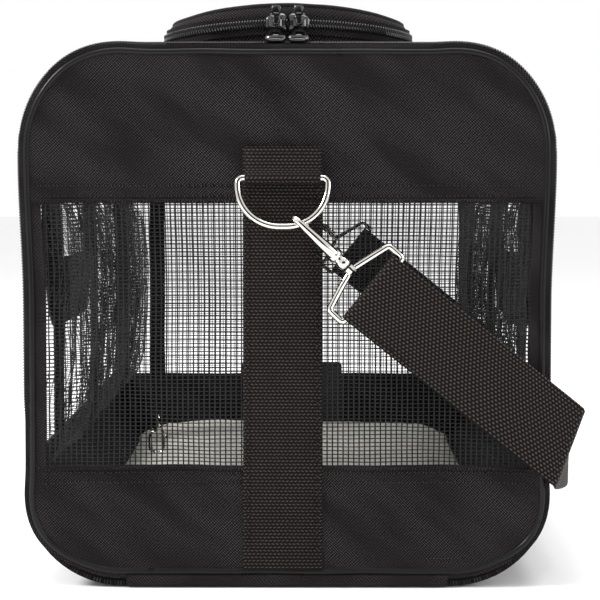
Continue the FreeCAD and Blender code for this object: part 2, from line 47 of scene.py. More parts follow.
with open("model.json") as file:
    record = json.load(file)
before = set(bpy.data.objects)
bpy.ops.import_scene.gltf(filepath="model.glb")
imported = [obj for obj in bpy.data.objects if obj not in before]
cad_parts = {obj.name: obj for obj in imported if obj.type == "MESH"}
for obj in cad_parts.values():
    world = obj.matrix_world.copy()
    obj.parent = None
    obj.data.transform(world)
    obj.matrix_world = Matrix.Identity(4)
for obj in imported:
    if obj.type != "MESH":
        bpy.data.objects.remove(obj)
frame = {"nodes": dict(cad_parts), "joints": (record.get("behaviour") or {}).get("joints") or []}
MM = 0.001
TURN = 2 * math.pi


def corners(node):
    """A node's lowest and highest corners, in millimetres."""
    low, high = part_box(node)
    return low / MM, high / MM


# Places that the frame gives, in millimetres.
HALF = corners("lower_band_right")[1].x
ROOF = corners("top_panel_right")[1].z
BASE_HALF = corners("base_panel")[1].x
SIDE_TOP = corners("side_webbing_left")[1].z
WINDOW_LOW, WINDOW_HIGH = corners("near_mesh")[0].z, corners("near_mesh")[1].z
NEAR_END, DOOR_BACK = corners("near_piping")[0].y, corners("near_piping")[1].y
FAR_END = corners("far_piping")[1].y
PIPING = (DOOR_BACK - NEAR_END) / 2
SHELL_NEAR = corners("base_panel")[0].y
WALL_NEAR = corners("side_mesh_left")[0].y
WALL_FAR = corners("side_mesh_left")[1].y
HATCH_HALF, HATCH_END = corners("hatch_collar")[1].x, corners("hatch_collar")[1].y
COLLAR_TOP, LID_LOW = corners("hatch_collar")[1].z, corners("lid_rim")[0].z
LID_HIGH = corners("lid_rim")[1].z
WEBBING = corners("near_webbing")

HATCH_FLAT = 32       # half the straight part of the hatch's near and far edges
HATCH_RADIUS = HATCH_HALF - HATCH_FLAT

# Each end's name, its direction and the body that it rides on, and each side's name and direction.
ENDS = (("near", -1, "end_door"), ("far", 1, "carrier"))
SIDES = (("left", -1), ("right", 1))

# Places and sizes that only the look has, in millimetres.
STRAP_WIDTH = 38      # the shoulder strap, the handles and the side webbing
FRAME_BAR = 16.5      # from a clip's swivel to the bar that the strap is sewn round
SEAM_GAPS = (4, 9)    # from a window's edge to the two rows of stitches beside it
SHOULDER = 205        # the height at which a side begins to turn into the roof
LEVEL_HALF = 66       # half the width of the roof that stays level, under the end zip's sliders
DOOR_LIFT = 4.5       # how far the near end's foot is lifted, away from its corners

FOLD_LEAN = 20.4      # degrees that the strap's fold leans from upright
CREASE_PLACE = 3      # the layer of the noise that the ends' creases are taken from


# ---------------------------------------------------------------- sizes and colours

class CarrierSizes(bpy.types.PropertyGroup):
    fabric: bpy.props.FloatProperty(
        name="Fabric", description="Thickness of the padded polyester, mm", default=2.2)
    sag: bpy.props.FloatProperty(
        name="Roof sag", description="How far the roof's near edge sags, mm", default=3.2)
    waist: bpy.props.FloatProperty(
        name="Waist", description="How far the sides pull in at the windows, mm", default=2.2)
    wrinkle: bpy.props.FloatProperty(
        name="Wrinkles", description="Height of the end panels' wrinkles, mm", default=4.6)
    strand_gap: bpy.props.FloatProperty(
        name="Mesh pitch", description="Gap between upright strands, mm", default=2.6)
    strand_rise: bpy.props.FloatProperty(
        name="Mesh rise", description="Gap between level strands, mm", default=1.9)
    tooth_pitch: bpy.props.FloatProperty(
        name="Zip pitch", description="Gap between the coil's teeth, mm", default=1.36)
    stitch: bpy.props.FloatProperty(
        name="Stitch", description="Length of a stitch, mm", default=3.0)


class CarrierColours(bpy.types.PropertyGroup):
    polyester: bpy.props.FloatVectorProperty(
        name="Polyester", description="Padded fabric", subtype="COLOR",
        default=(0.0030, 0.0022, 0.0025), min=0, max=1)
    thread: bpy.props.FloatVectorProperty(
        name="Weave", description="The fabric's raised threads", subtype="COLOR",
        default=(0.066, 0.059, 0.062), min=0, max=1)
    webbing: bpy.props.FloatVectorProperty(
        name="Webbing", description="Straps and handles", subtype="COLOR",
        default=(0.0105, 0.0086, 0.0079), min=0, max=1)
    piping: bpy.props.FloatVectorProperty(
        name="Piping", description="Glossy edge bead", subtype="COLOR",
        default=(0.006, 0.006, 0.0065), min=0, max=1)
    mesh: bpy.props.FloatVectorProperty(
        name="Mesh", description="Window mesh", subtype="COLOR",
        default=(0.010, 0.010, 0.011), min=0, max=1)
    nickel: bpy.props.FloatVectorProperty(
        name="Nickel", description="Plated hardware", subtype="COLOR",
        default=(0.80, 0.77, 0.72), min=0, max=1)
    fleece: bpy.props.FloatVectorProperty(
        name="Fleece", description="Bed cover", subtype="COLOR",
        default=(0.66, 0.64, 0.55), min=0, max=1)


def sizes():
    return bpy.context.scene.carrier_sizes


def colours():
    return bpy.context.scene.carrier_colours


# ---------------------------------------------------------------- finishes

class Wire:
    """A socket in a material, which can be used in a formula."""

    def __init__(self, paint, socket):
        self.paint, self.socket = paint, socket

    def math(self, operation, *others):
        return self.paint.node("ShaderNodeMath", {"operation": operation}, self, *others)

    def __add__(self, other):
        return self.math("ADD", other)

    def __radd__(self, other):
        return self.math("ADD", other)

    def __sub__(self, other):
        return self.math("SUBTRACT", other)

    def __rsub__(self, other):
        return self.paint.node("ShaderNodeMath", {"operation": "SUBTRACT"}, other, self)

    def __mul__(self, other):
        return self.math("MULTIPLY", other)

    def __rmul__(self, other):
        return self.math("MULTIPLY", other)

    def __truediv__(self, other):
        return self.math("DIVIDE", other)

    def sine(self):
        return self.math("SINE")

    def size(self):
        return self.math("ABSOLUTE")

    def ramp(self, low, high):
        """0 below low, 1 above high, and smooth between them."""
        settings = {"interpolation_type": "SMOOTHSTEP"}
        return self.paint.node("ShaderNodeMapRange", settings, self, low, high, 0.0, 1.0)


class Paint:
    """A material, built from formulas on its wires."""

    def __init__(self, name, **constants):
        self.material = bpy.data.materials.new("carrier_" + name)
        self.material.use_nodes = True
        self.tree = self.material.node_tree
        self.shader = next(n for n in self.tree.nodes if n.type == "BSDF_PRINCIPLED")
        for key, value in constants.items():
            self.shader.inputs[key.replace("_", " ")].default_value = value

    def node(self, kind, settings, *values, output=0, **named):
        made = self.tree.nodes.new(kind)
        for key, value in settings.items():
            setattr(made, key, value)
        entries = list(enumerate(values)) + [(key.replace("_", " "), value) for key, value in named.items()]
        for key, value in entries:
            self.feed(made.inputs[key], value)
        return Wire(self, made.outputs[output])

    def feed(self, socket, value):
        if isinstance(value, Wire):
            self.tree.links.new(value.socket, socket)
        else:
            socket.default_value = value

    def cloth(self):
        """Where a point lies on its cut piece, in millimetres: along it and across it."""
        place = self.node("ShaderNodeAttribute", {"attribute_name": "cloth"}, output="Vector")
        split = self.node("ShaderNodeSeparateXYZ", {}, place)
        return place, Wire(self, split.socket.node.outputs[0]), Wire(self, split.socket.node.outputs[1])

    def place(self):
        """Where a point lies in the carrier, in millimetres."""
        where = self.node("ShaderNodeTexCoord", {}, output="Object")
        return self.node("ShaderNodeVectorMath", {"operation": "SCALE"}, where, Scale=1000.0)

    def noise(self, where, scale, detail=2.0):
        return self.node("ShaderNodeTexNoise", {}, Vector=where, Scale=scale, Detail=detail, output="Fac")

    def tint(self, mask, dark, light):
        """One colour where the mask is 0 and the other where it is 1."""
        mixed = self.tree.nodes.new("ShaderNodeMix")
        mixed.data_type = "RGBA"
        self.feed(mixed.inputs["Factor"], mask)
        ends = [s for s in mixed.inputs if s.name in "AB" and s.type == "RGBA"]
        for socket, value in zip(ends, (dark, light)):
            self.feed(socket, value if isinstance(value, Wire) else (*value, 1.0))
        return Wire(self, [s for s in mixed.outputs if s.type == "RGBA"][0])

    def colour(self, mask, dark, light):
        self.feed(self.shader.inputs["Base Color"], self.tint(mask, dark, light))

    def rough(self, value):
        self.feed(self.shader.inputs["Roughness"], value)

    def relief(self, height, distance, strength=1.0):
        bump = self.node("ShaderNodeBump", {}, Strength=strength, Distance=distance * MM, Height=height,
                         output="Normal")
        self.feed(self.shader.inputs["Normal"], bump)


def scaled(colour, factor):
    return tuple(min(1.0, c * factor) for c in colour)


def polyester():
    """Oxford cloth: fine diagonal ribs crossed by the weft, with a soft sheen, and broad diagonal streaks of
    painted highlight that brighten its threads.
    """
    paint = Paint("polyester", Sheen_Weight=0.03, Sheen_Roughness=0.4, Specular_IOR_Level=0.06)
    where, u, v = paint.cloth()
    twill = ((u + v) * (TURN / 1.3)).sine()
    weft = ((u - v) * (TURN / 1.7)).sine()
    # Broad diagonal streaks of painted highlight, standing in for light caught on folds; the same streaks
    # also vary the roughness.
    drawn = paint.node("ShaderNodeCombineXYZ", {}, u * 0.75 + v, (u - v) * 0.25, 0.0)
    broad = paint.noise(drawn, 0.045, 2.0).ramp(0.32, 0.68)
    ribs = (twill * 0.6 + weft * 0.4) * 0.5 + 0.5
    fleck = paint.noise(where, 1.1, 1.0)
    mask = (ribs * (fleck * 0.8 + 0.6)).ramp(0.48, 0.95)
    # The threads' colour is brightened along the painted highlight streaks.
    paint.colour(mask * (broad * 0.75 + 0.45), tuple(colours().polyester), scaled(colours().thread, 0.85))
    paint.rough(broad * 0.14 + 0.58 - mask * 0.1)
    paint.relief(ribs * 0.6 + fleck * 0.4, 0.16, 0.7)
    return paint.material


def grained(name, grain, colour, gloss, relief=None, **constants):
    """A plain finish whose colour and roughness follow one grain of (scale, detail)."""
    paint = Paint(name, **constants)
    mask = paint.noise(paint.place(), *grain)
    paint.colour(mask, *colour)
    paint.rough(mask * gloss[1] + gloss[0])
    if relief:
        paint.relief(mask, *relief)
    return paint.material


def window_mesh():
    colour = scaled(colours().mesh, 0.7), scaled(colours().mesh, 1.6)
    return grained("window_mesh", (0.9, 2.0), colour, (0.42, 0.2), Specular_IOR_Level=0.2)


def webbing():
    """Chevron webbing: rows across it of short floats, which lean one way and then the other."""
    paint = Paint("webbing", Sheen_Weight=0.02, Sheen_Roughness=0.5, Specular_IOR_Level=0.06)
    where, u, v = paint.cloth()
    row = u / 1.6
    lean = ((row / 2.0).math("FRACT") - 0.5).size() * 4.0
    chevron = (row * TURN).sine() * 0.5 + 0.5
    cords = ((v + lean * 0.8) * (TURN / 2.0)).sine() * 0.5 + 0.5
    worn = paint.noise(where, 0.11, 3.0)
    fuzz = paint.noise(where, 2.3, 1.0)
    mask = (chevron * (cords * 0.6 + 0.4) * (fuzz * 0.6 + 0.7)).ramp(0.35, 0.95)
    paint.colour(mask * (worn * 0.8 + 0.5), scaled(colours().webbing, 0.45), scaled(colours().webbing, 5.6))
    paint.rough(0.62 - mask * 0.12)
    paint.relief(chevron * 0.7 + cords * 0.3, 0.3, 0.9)
    return paint.material


def strap_webbing():
    """Plain ribbed webbing: rows of short floats."""
    paint = Paint("strap_webbing", Sheen_Weight=0.02, Sheen_Roughness=0.5, Specular_IOR_Level=0.06)
    where, u, v = paint.cloth()
    rows = (v * (TURN / 1.52)).sine() * 0.5 + 0.5
    step = (v / 1.52).math("FLOOR") * 1.1
    floats = ((u + step) * (TURN / 2.2)).sine() * 0.5 + 0.5
    fuzz = paint.noise(where, 2.0, 1.0)
    mask = (rows * floats * 0.9 + fuzz * 0.3).ramp(0.25, 0.95)
    paint.colour(mask, scaled(colours().webbing, 0.35), scaled(colours().webbing, 6.0))
    paint.rough(0.6 - mask * 0.12)
    paint.relief(rows * floats, 0.35, 0.9)
    return paint.material


def vinyl():
    """Glossy extruded bead."""
    paint = Paint("vinyl", Coat_Weight=0.12, Coat_Roughness=0.08, Specular_IOR_Level=0.1)
    where = paint.place()
    scuff = paint.noise(where, 0.05, 3.0)
    paint.colour(scuff, scaled(colours().piping, 0.8), scaled(colours().piping, 2.0))
    paint.rough(scuff * 0.16 + 0.22)
    paint.relief(paint.noise(where, 0.25, 2.0), 0.1, 0.4)
    return paint.material


def coil():
    colour = scaled(colours().mesh, 1.0), scaled(colours().mesh, 2.6)
    return grained("coil", (0.7, 1.0), colour, (0.27, 0.12), Specular_IOR_Level=0.55)


def enamel():
    colour = scaled(colours().piping, 0.8), scaled(colours().piping, 1.5)
    return grained("enamel", (0.3, 2.0), colour, (0.14, 0.08), Coat_Weight=0.8, Coat_Roughness=0.05,
                   Specular_IOR_Level=0.6)


def nickel():
    paint = Paint("nickel", Metallic=1.0)
    where = paint.place()
    haze = paint.noise(where, 0.12, 3.0)
    paint.colour(haze, scaled(colours().nickel, 0.82), scaled(colours().nickel, 1.0))
    paint.rough(haze * 0.08 + 0.05)
    paint.relief(paint.noise(where, 0.5, 2.0), 0.05, 0.25)
    return paint.material


def drawn_steel():
    """Spring wire in its black sleeve."""
    colour = (0.008, 0.008, 0.008), (0.022, 0.022, 0.022)
    return grained("drawn_steel", (1.5, 3.0), colour, (0.5, 0.2), Specular_IOR_Level=0.2)


def fleece():
    paint = Paint("fleece", Sheen_Weight=0.5, Sheen_Roughness=0.6, Specular_IOR_Level=0.2)
    where = paint.place()
    nap = paint.noise(where, 0.75, 4.0)
    broad = paint.noise(where, 0.03, 2.0)
    paint.colour(nap * 0.6 + broad * 0.4, scaled(colours().fleece, 0.78), scaled(colours().fleece, 1.16))
    paint.rough(nap * 0.1 + 0.85)
    paint.relief(nap, 0.9, 0.8)
    return paint.material


def board():
    colour = (0.05, 0.05, 0.05), (0.10, 0.10, 0.10)
    return grained("board", (1.2, 4.0), colour, (0.5, 0.2), (0.2, 0.5), Specular_IOR_Level=0.4)


def rubber_patch():
    colour = (0.016, 0.016, 0.017), (0.032, 0.032, 0.034)
    return grained("rubber_patch", (2.0, 3.0), colour, (0.6, 0.15), (0.15, 0.5), Specular_IOR_Level=0.35)


FINISHES = {
    "polyester": polyester, "window_mesh": window_mesh, "webbing": webbing, "strap_webbing": strap_webbing,
    "vinyl": vinyl, "coil": coil, "enamel": enamel, "nickel": nickel, "drawn_steel": drawn_steel,
    "fleece": fleece, "board": board, "rubber_patch": rubber_patch,
}


def finish(name):
    return bpy.data.materials.get("carrier_" + name) or FINISHES[name]()


def refinish(node, name):
    """Give a finish to a node that stays as the frame draws it."""
    materials = frame["nodes"][node].data.materials
    materials.clear()
    materials.append(finish(name))


# ---------------------------------------------------------------- making shapes

def smooth(x, low, high):
    """0 up to low, 1 from high, and an easy curve between them."""
    t = min(1.0, max(0.0, (x - low) / (high - low)))
    return t * t * (3 - 2 * t)


def between(low, high, count):
    return [low + (high - low) * i / (count - 1) for i in range(count)]


def ripple(*where):
    """Smooth noise at a place, from -1 to 1."""
    return noise.noise(Vector((*where, 0.0, 0.0)[:3]))


def walls(sides, rings, closed=False):
    """The faces between rings of points that all have the same number of sides."""
    faces = []
    for i in range(rings if closed else rings - 1):
        k = (i + 1) % rings
        faces += [(i * sides + j, i * sides + (j + 1) % sides, k * sides + (j + 1) % sides, k * sides + j)
                  for j in range(sides)]
    return faces


def caps(sides, rings):
    """The faces that close the first ring and the last."""
    return [tuple(range(sides))[::-1], tuple((rings - 1) * sides + j for j in range(sides))]


class Piece:
    """Gathers the surfaces of one sewn or moulded piece, in millimetres, and makes them one object."""

    def __init__(self, name, material):
        self.name, self.material = name, material
        self.points, self.faces, self.cloth = [], [], []

    def add(self, points, faces, cloth):
        first = len(self.points)
        self.points += points
        self.cloth += cloth
        self.faces += [tuple(first + i for i in face) for face in faces]

    def sheet(self, place, us, vs, gauge, ring=False):
        """A cloth of even thickness whose middle is place(u, v). A ring joins its last u to its first."""
        grid = [[Vector(place(u, v)) for v in vs] for u in us]
        rows, columns = len(us), len(vs)
        points, cloth = [], []
        for side in (0.5, -0.5):
            for i in range(rows):
                before = (i - 1) % rows if ring else max(i - 1, 0)
                after = (i + 1) % rows if ring else min(i + 1, rows - 1)
                for j in range(columns):
                    along = grid[after][j] - grid[before][j]
                    across = grid[i][min(j + 1, columns - 1)] - grid[i][max(j - 1, 0)]
                    normal = along.cross(across).normalized()
                    points.append(grid[i][j] + normal * gauge * side)
                    cloth.append((us[i], vs[j], 0))
        back = rows * columns
        faces = []
        for i in range(rows if ring else rows - 1):
            k = (i + 1) % rows
            for j in range(columns - 1):
                a, b, c, d = i * columns + j, k * columns + j, k * columns + j + 1, i * columns + j + 1
                faces += [(a, b, c, d), (back + d, back + c, back + b, back + a)]
            for j, flip in ((0, False), (columns - 1, True)):
                a, b = i * columns + j, k * columns + j
                rim = (a, back + a, back + b, b)
                faces.append(rim[::-1] if flip else rim)
        if not ring:
            for j in range(columns - 1):
                for i, flip in ((0, True), (rows - 1, False)):
                    a, b = i * columns + j, i * columns + j + 1
                    rim = (a, back + a, back + b, b)
                    faces.append(rim[::-1] if flip else rim)
        self.add(points, faces, cloth)

    def sweep(self, path, profile, across=None, closed=False, skew=False):
        """A profile of (sideways, outwards) points carried along a path, with caps at open ends. Where it is
        skewed, its points keep to the way across, even if that isn't square to the path."""
        count, sides = len(path), len(profile[0]) if isinstance(profile[0], list) else len(profile)
        points, cloth = [], []
        length, side = 0.0, None
        for i, middle in enumerate(path):
            before = path[(i - 1) % count] if closed or i else path[0]
            after = path[(i + 1) % count] if closed or i < count - 1 else path[-1]
            ahead = (after - before).normalized()
            if across is not None:
                side = Vector(across[i] if isinstance(across, list) else across)
            elif side is None:
                side = ahead.orthogonal()
            square = side - ahead * side.dot(ahead)
            outwards = square.cross(ahead).normalized()
            side = side / square.length if skew else square.normalized()
            length += (middle - path[i - 1]).length if i else 0
            shape = profile[i] if isinstance(profile[0], list) else profile
            for x, y in shape:
                points.append(middle + side * x + outwards * y)
                cloth.append((length, x, 0))
        self.add(points, walls(sides, count, closed) + ([] if closed else caps(sides, count)), cloth)

    def tube(self, path, radius, closed=False, sides=10):
        """A round rod along a path, of one radius or of a list with one for each point."""
        radii = radius if isinstance(radius, list) else [radius] * len(path)
        turns = [TURN * j / sides for j in range(sides)]
        rings = [[(r * math.cos(t), r * math.sin(t)) for t in turns] for r in radii]
        self.sweep(path, rings, closed=closed)

    def ribbon(self, path, across, width, gauge, skew=False):
        """Webbing with soft woven edges."""
        w, g = width / 2, gauge / 2
        half = [(-w + 0.9, g), (-w / 3, g), (w / 3, g), (w - 0.9, g), (w - 0.2, g * 0.7), (w, 0)]
        self.sweep(path, half + [(-x, -y) for x, y in half], across, skew=skew)

    def stitches(self, path, outwards, length=None, radius=0.35):
        """A row of sewing thread that dips into the cloth between stitches."""
        step = length or sizes().stitch
        for start, end in runs(path, step, step * 0.3):
            middle = (start + end) / 2 + Vector(outwards) * radius * 0.6
            self.tube([start, start.lerp(middle, 0.5), middle, end.lerp(middle, 0.5), end],
                      [radius * 0.4, radius, radius * 1.1, radius, radius * 0.4], sides=6)

    def moulded(self, outline, levels, origin, ex, ey):
        """A plate with an outline, whose size changes at each level of (height, scale)."""
        ez = ex.cross(ey)
        sides, rings = len(outline), len(levels)
        points = [origin + ex * x * s + ey * y * s + ez * z for z, s in levels for x, y in outline]
        self.add(points, caps(sides, rings) + walls(sides, rings), [(p.x, p.z, 0) for p in points])

    def done(self, body, *nodes, blend=None, swell=None):
        """Make the object, parent it to its body's empty (a blended piece only has its transform baked), and
        hide the CAD nodes that it stands for.
        """
        data = bpy.data.meshes.new(self.name)
        data.from_pydata([p * MM for p in self.points], [], self.faces)
        cloth = data.attributes.new("cloth", "FLOAT_VECTOR", "POINT")
        cloth.data.foreach_set("vector", [c for p in self.cloth for c in p])
        data.materials.append(finish(self.material))
        data.polygons.foreach_set("use_smooth", [True] * len(data.polygons))
        data.validate()
        data.set_sharp_from_angle(angle=math.radians(48))
        made = bpy.data.objects.new(self.name, data)
        bpy.context.collection.objects.link(made)
        if swell:
            inflate(made, *swell)
        if blend:
            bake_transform(made)
        else:
            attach(made, body)
        if nodes:
            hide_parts(*nodes)
        return made


def settled_mesh(made):
    """The piece's mesh as its modifiers leave it, with none of them left on it."""
    view = bpy.context.evaluated_depsgraph_get()
    made.data = bpy.data.meshes.new_from_object(made.evaluated_get(view))
    made.modifiers.clear()


def inflate(made, most, floor):
    """Swell a closed cover as its filling would, by no more than a limit, and keep it above a floor."""
    scene = bpy.context.scene
    remesh = made.modifiers.new("remesh", "REMESH")
    remesh.mode, remesh.voxel_size = "VOXEL", 6 * MM
    settled_mesh(made)
    start = [v.co.copy() for v in made.data.vertices]
    cloth = made.modifiers.new("cloth", "CLOTH")
    cloth.settings.use_pressure = True
    cloth.settings.uniform_pressure_force = 4
    cloth.settings.effector_weights.gravity = 0
    for step in range(1, 21):
        scene.frame_set(step)
    settled_mesh(made)
    scene.frame_set(1)
    for vertex, was in zip(made.data.vertices, start):
        move = vertex.co - was
        if move.length > most * MM:
            move *= most * MM / move.length
        vertex.co = was + move
        vertex.co.z = max(vertex.co.z, floor * MM)
    made.modifiers.new("soft", "SUBSURF").levels = 1
    settled_mesh(made)
    made.data.polygons.foreach_set("use_smooth", [True] * len(made.data.polygons))


def runs(path, length, gap):
    """Cut a path into equal runs with gaps between them."""
    spans, travelled, due, start = [], 0.0, 0.0, None
    for a, b in zip(path, path[1:]):
        size = (b - a).length
        while size > 0 and due <= travelled + size:
            point = a.lerp(b, (due - travelled) / size)
            if start is None:
                start, due = point, due + length
            else:
                spans.append((start, point))
                start, due = None, due + gap
        travelled += size
    return spans


def arc(centre, ex, ey, radius, start, end, count):
    """Points on a part of a circle, with its angles in degrees."""
    turns = [math.radians(a) for a in between(start, end, count)]
    return [centre + ex * radius * math.cos(t) + ey * radius * math.sin(t) for t in turns]


class Outline:
    """A rounded rectangle in a plane: half its width, its low and high edges, and its corners' radii."""

    def __init__(self, half, low, high, low_radius, high_radius):
        self.half, self.low, self.high, self.r0, self.r1 = half, low, high, low_radius, high_radius

    def inset(self, d):
        return Outline(self.half - d, self.low + d, self.high - d, self.r0 - d, self.r1 - d)

    def half_at(self, z):
        """Half the width at a height."""
        z = min(max(z, self.low), self.high)
        if z < self.low + self.r0:
            return self.half - self.r0 + math.sqrt(max(0, self.r0 ** 2 - (self.low + self.r0 - z) ** 2))
        if z > self.high - self.r1:
            return self.half - self.r1 + math.sqrt(max(0, self.r1 ** 2 - (z - self.high + self.r1) ** 2))
        return self.half

    def side(self, step):
        """The right half, from the middle of the low edge to the middle of the high edge."""
        a, b = self.half - self.r0, self.half - self.r1
        points = []
        for x in between(0, a, max(2, int(a / step)))[:-1]:
            points.append((x, self.low))
        for t in between(-math.pi / 2, 0, max(4, int(self.r0 * 1.57 / step)))[:-1]:
            points.append((a + self.r0 * math.cos(t), self.low + self.r0 + self.r0 * math.sin(t)))
        rise = self.high - self.r1 - self.low - self.r0
        for z in between(self.low + self.r0, self.high - self.r1, max(2, int(rise / step)))[:-1]:
            points.append((self.half, z))
        for t in between(0, math.pi / 2, max(4, int(self.r1 * 1.57 / step)))[:-1]:
            points.append((b + self.r1 * math.cos(t), self.high - self.r1 + self.r1 * math.sin(t)))
        for x in between(b, 0, max(2, int(b / step))):
            points.append((x, self.high))
        return points

    def loop(self, step):
        right = self.side(step)
        return right + [(-x, z) for x, z in right[-2:0:-1]]


SECTION = Outline(HALF, 0, ROOF, HALF - BASE_HALF, ROOF - SIDE_TOP)
HATCH = Outline(HATCH_HALF, -HATCH_END, HATCH_END, HATCH_RADIUS, HATCH_RADIUS)


def settle(x, y, z):
    """Let the fabric hang: the roof sags towards its middle and the sides pull in at the windows."""
    near = math.exp(-((y - NEAR_END) / 70) ** 2)
    depth = sizes().sag * (0.35 + 0.65 * near)
    hollow = 1 - smooth(abs(x), LEVEL_HALF, 112)
    z -= depth * hollow * smooth(z, SHOULDER, ROOF) * (1 if abs(y) > HATCH_END else 0.45)
    pull = sizes().waist * smooth(z, 20, 60) * (1 - smooth(z, 135, SHOULDER))
    return Vector((x - math.copysign(pull, x) * min(1, abs(x) / HALF), y, z))


def hang(sign, x, z):
    """Where a point of an end's outline hangs. The door's foot is held clear of the ground by the base."""
    point = settle(x, NEAR_END if sign < 0 else FAR_END, z)
    if sign < 0:
        point.z += DOOR_LIFT * (1 - smooth(z, 0, 70)) * smooth(HALF - abs(x), 0, 30)
    return point


def crease(x, z):
    """Soft drawn wrinkles, which lean."""
    long_one = ripple((x * 0.75 + z) / 32, (x - z) / 110, CREASE_PLACE)
    fine = ripple((x * 0.8 + z) / 15, (x - z) / 60, CREASE_PLACE + 7)
    return sizes().wrinkle * (long_one * 1.5 + fine * 0.6)


# ---------------------------------------------------------------- the stage

class CARRIER_OT_stage(bpy.types.Operator):
    """Set a pale floor, soft light and the camera"""
    bl_idname = "carrier.stage"
    bl_label = "Stage"

    def execute(self, context):
        scene = context.scene
        lens, sensor = 134.0, 36.0
        camera_data = bpy.data.cameras.new("camera")
        camera_data.lens, camera_data.sensor_width = lens, sensor
        camera_data.clip_end = 50
        camera = bpy.data.objects.new("camera", camera_data)
        eye, target = Vector((0.0105, NEAR_END * MM - 1.060, 0.198)), Vector((0.0062, NEAR_END * MM, 0.138))
        camera.location = eye
        camera.rotation_euler = (target - eye).to_track_quat("-Z", "Y").to_euler()
        scene.collection.objects.link(camera)
        scene.camera = camera

        reach = 9.0
        paint = Paint("pale_floor", Specular_IOR_Level=0.1)
        paint.colour(paint.noise(paint.place(), 0.001), (0.90, 0.90, 0.90), (0.93, 0.93, 0.93))
        paint.rough(0.9)
        floor = self.card(scene, "floor", [(-reach, -reach, 0), (reach, -reach, 0), (reach, reach, 0),
                                           (-reach, reach, 0)], paint)
        floor.location.z = -0.0006

        world = bpy.data.worlds.new("studio")
        world.use_nodes = True
        world.node_tree.nodes["Background"].inputs["Color"].default_value = (1, 1, 1, 1)
        world.node_tree.nodes["Background"].inputs["Strength"].default_value = 1.0
        scene.world = world
        scene.view_settings.view_transform = "Standard"
        self.flag(scene)
        aim = Vector((0, -0.15, 0.12))
        lamps = (("key", (-1.3, -0.75, 1.2), 0.5, 30), ("fill", (1.5, -0.8, 0.6), 0.7, 8),
                 ("top", (0.1, 0.1, 1.6), 1.2, 20))
        for name, spot, size, power in lamps:
            light = bpy.data.lights.new(name, "AREA")
            light.size, light.energy = size, power
            lamp = bpy.data.objects.new(name, light)
            lamp.location = spot
            lamp.rotation_euler = (aim - lamp.location).to_track_quat("-Z", "Y").to_euler()
            scene.collection.objects.link(lamp)
        return {"FINISHED"}

    def flag(self, scene):
        """A dark card behind the camera, which gives the polished metal something to reflect."""
        half, y, z = 0.75, -1.75, 0.45
        paint = Paint("flag_cloth", Specular_IOR_Level=0.1)
        paint.colour(paint.noise(paint.place(), 0.002), (0.01, 0.01, 0.01), (0.02, 0.02, 0.02))
        paint.rough(0.95)
        flag = self.card(scene, "flag", [(-half, y, z - half), (half, y, z - half), (half, y, z + half),
                                         (-half, y, z + half)], paint)
        flag.visible_camera = flag.visible_shadow = flag.visible_diffuse = False

    def card(self, scene, name, spots, paint):
        """A flat four-cornered thing of the studio's, in metres."""
        data = bpy.data.meshes.new(name)
        data.from_pydata(spots, [], [(0, 1, 2, 3)])
        data.materials.append(paint.material)
        made = bpy.data.objects.new(name, data)
        scene.collection.objects.link(made)
        return made


# ---------------------------------------------------------------- the padded shell

class Wrap:
    """The section as a path that can be walked from the middle of the base to the middle of the roof."""

    def __init__(self, inset):
        self.points = SECTION.inset(inset).side(2.0)
        self.marks = [0.0]
        for (x0, z0), (x1, z1) in zip(self.points, self.points[1:]):
            self.marks.append(self.marks[-1] + math.hypot(x1 - x0, z1 - z0))

    def at(self, s):
        """The place that is so far along the path."""
        for i in range(len(self.marks) - 1):
            if s <= self.marks[i + 1] or i == len(self.marks) - 2:
                t = (s - self.marks[i]) / (self.marks[i + 1] - self.marks[i])
                (x0, z0), (x1, z1) = self.points[i], self.points[i + 1]
                return x0 + (x1 - x0) * t, z0 + (z1 - z0) * t

    def where(self, test):
        """How far along the path a place first passes the test."""
        return next(mark for mark, point in zip(self.marks, self.points) if test(*point))


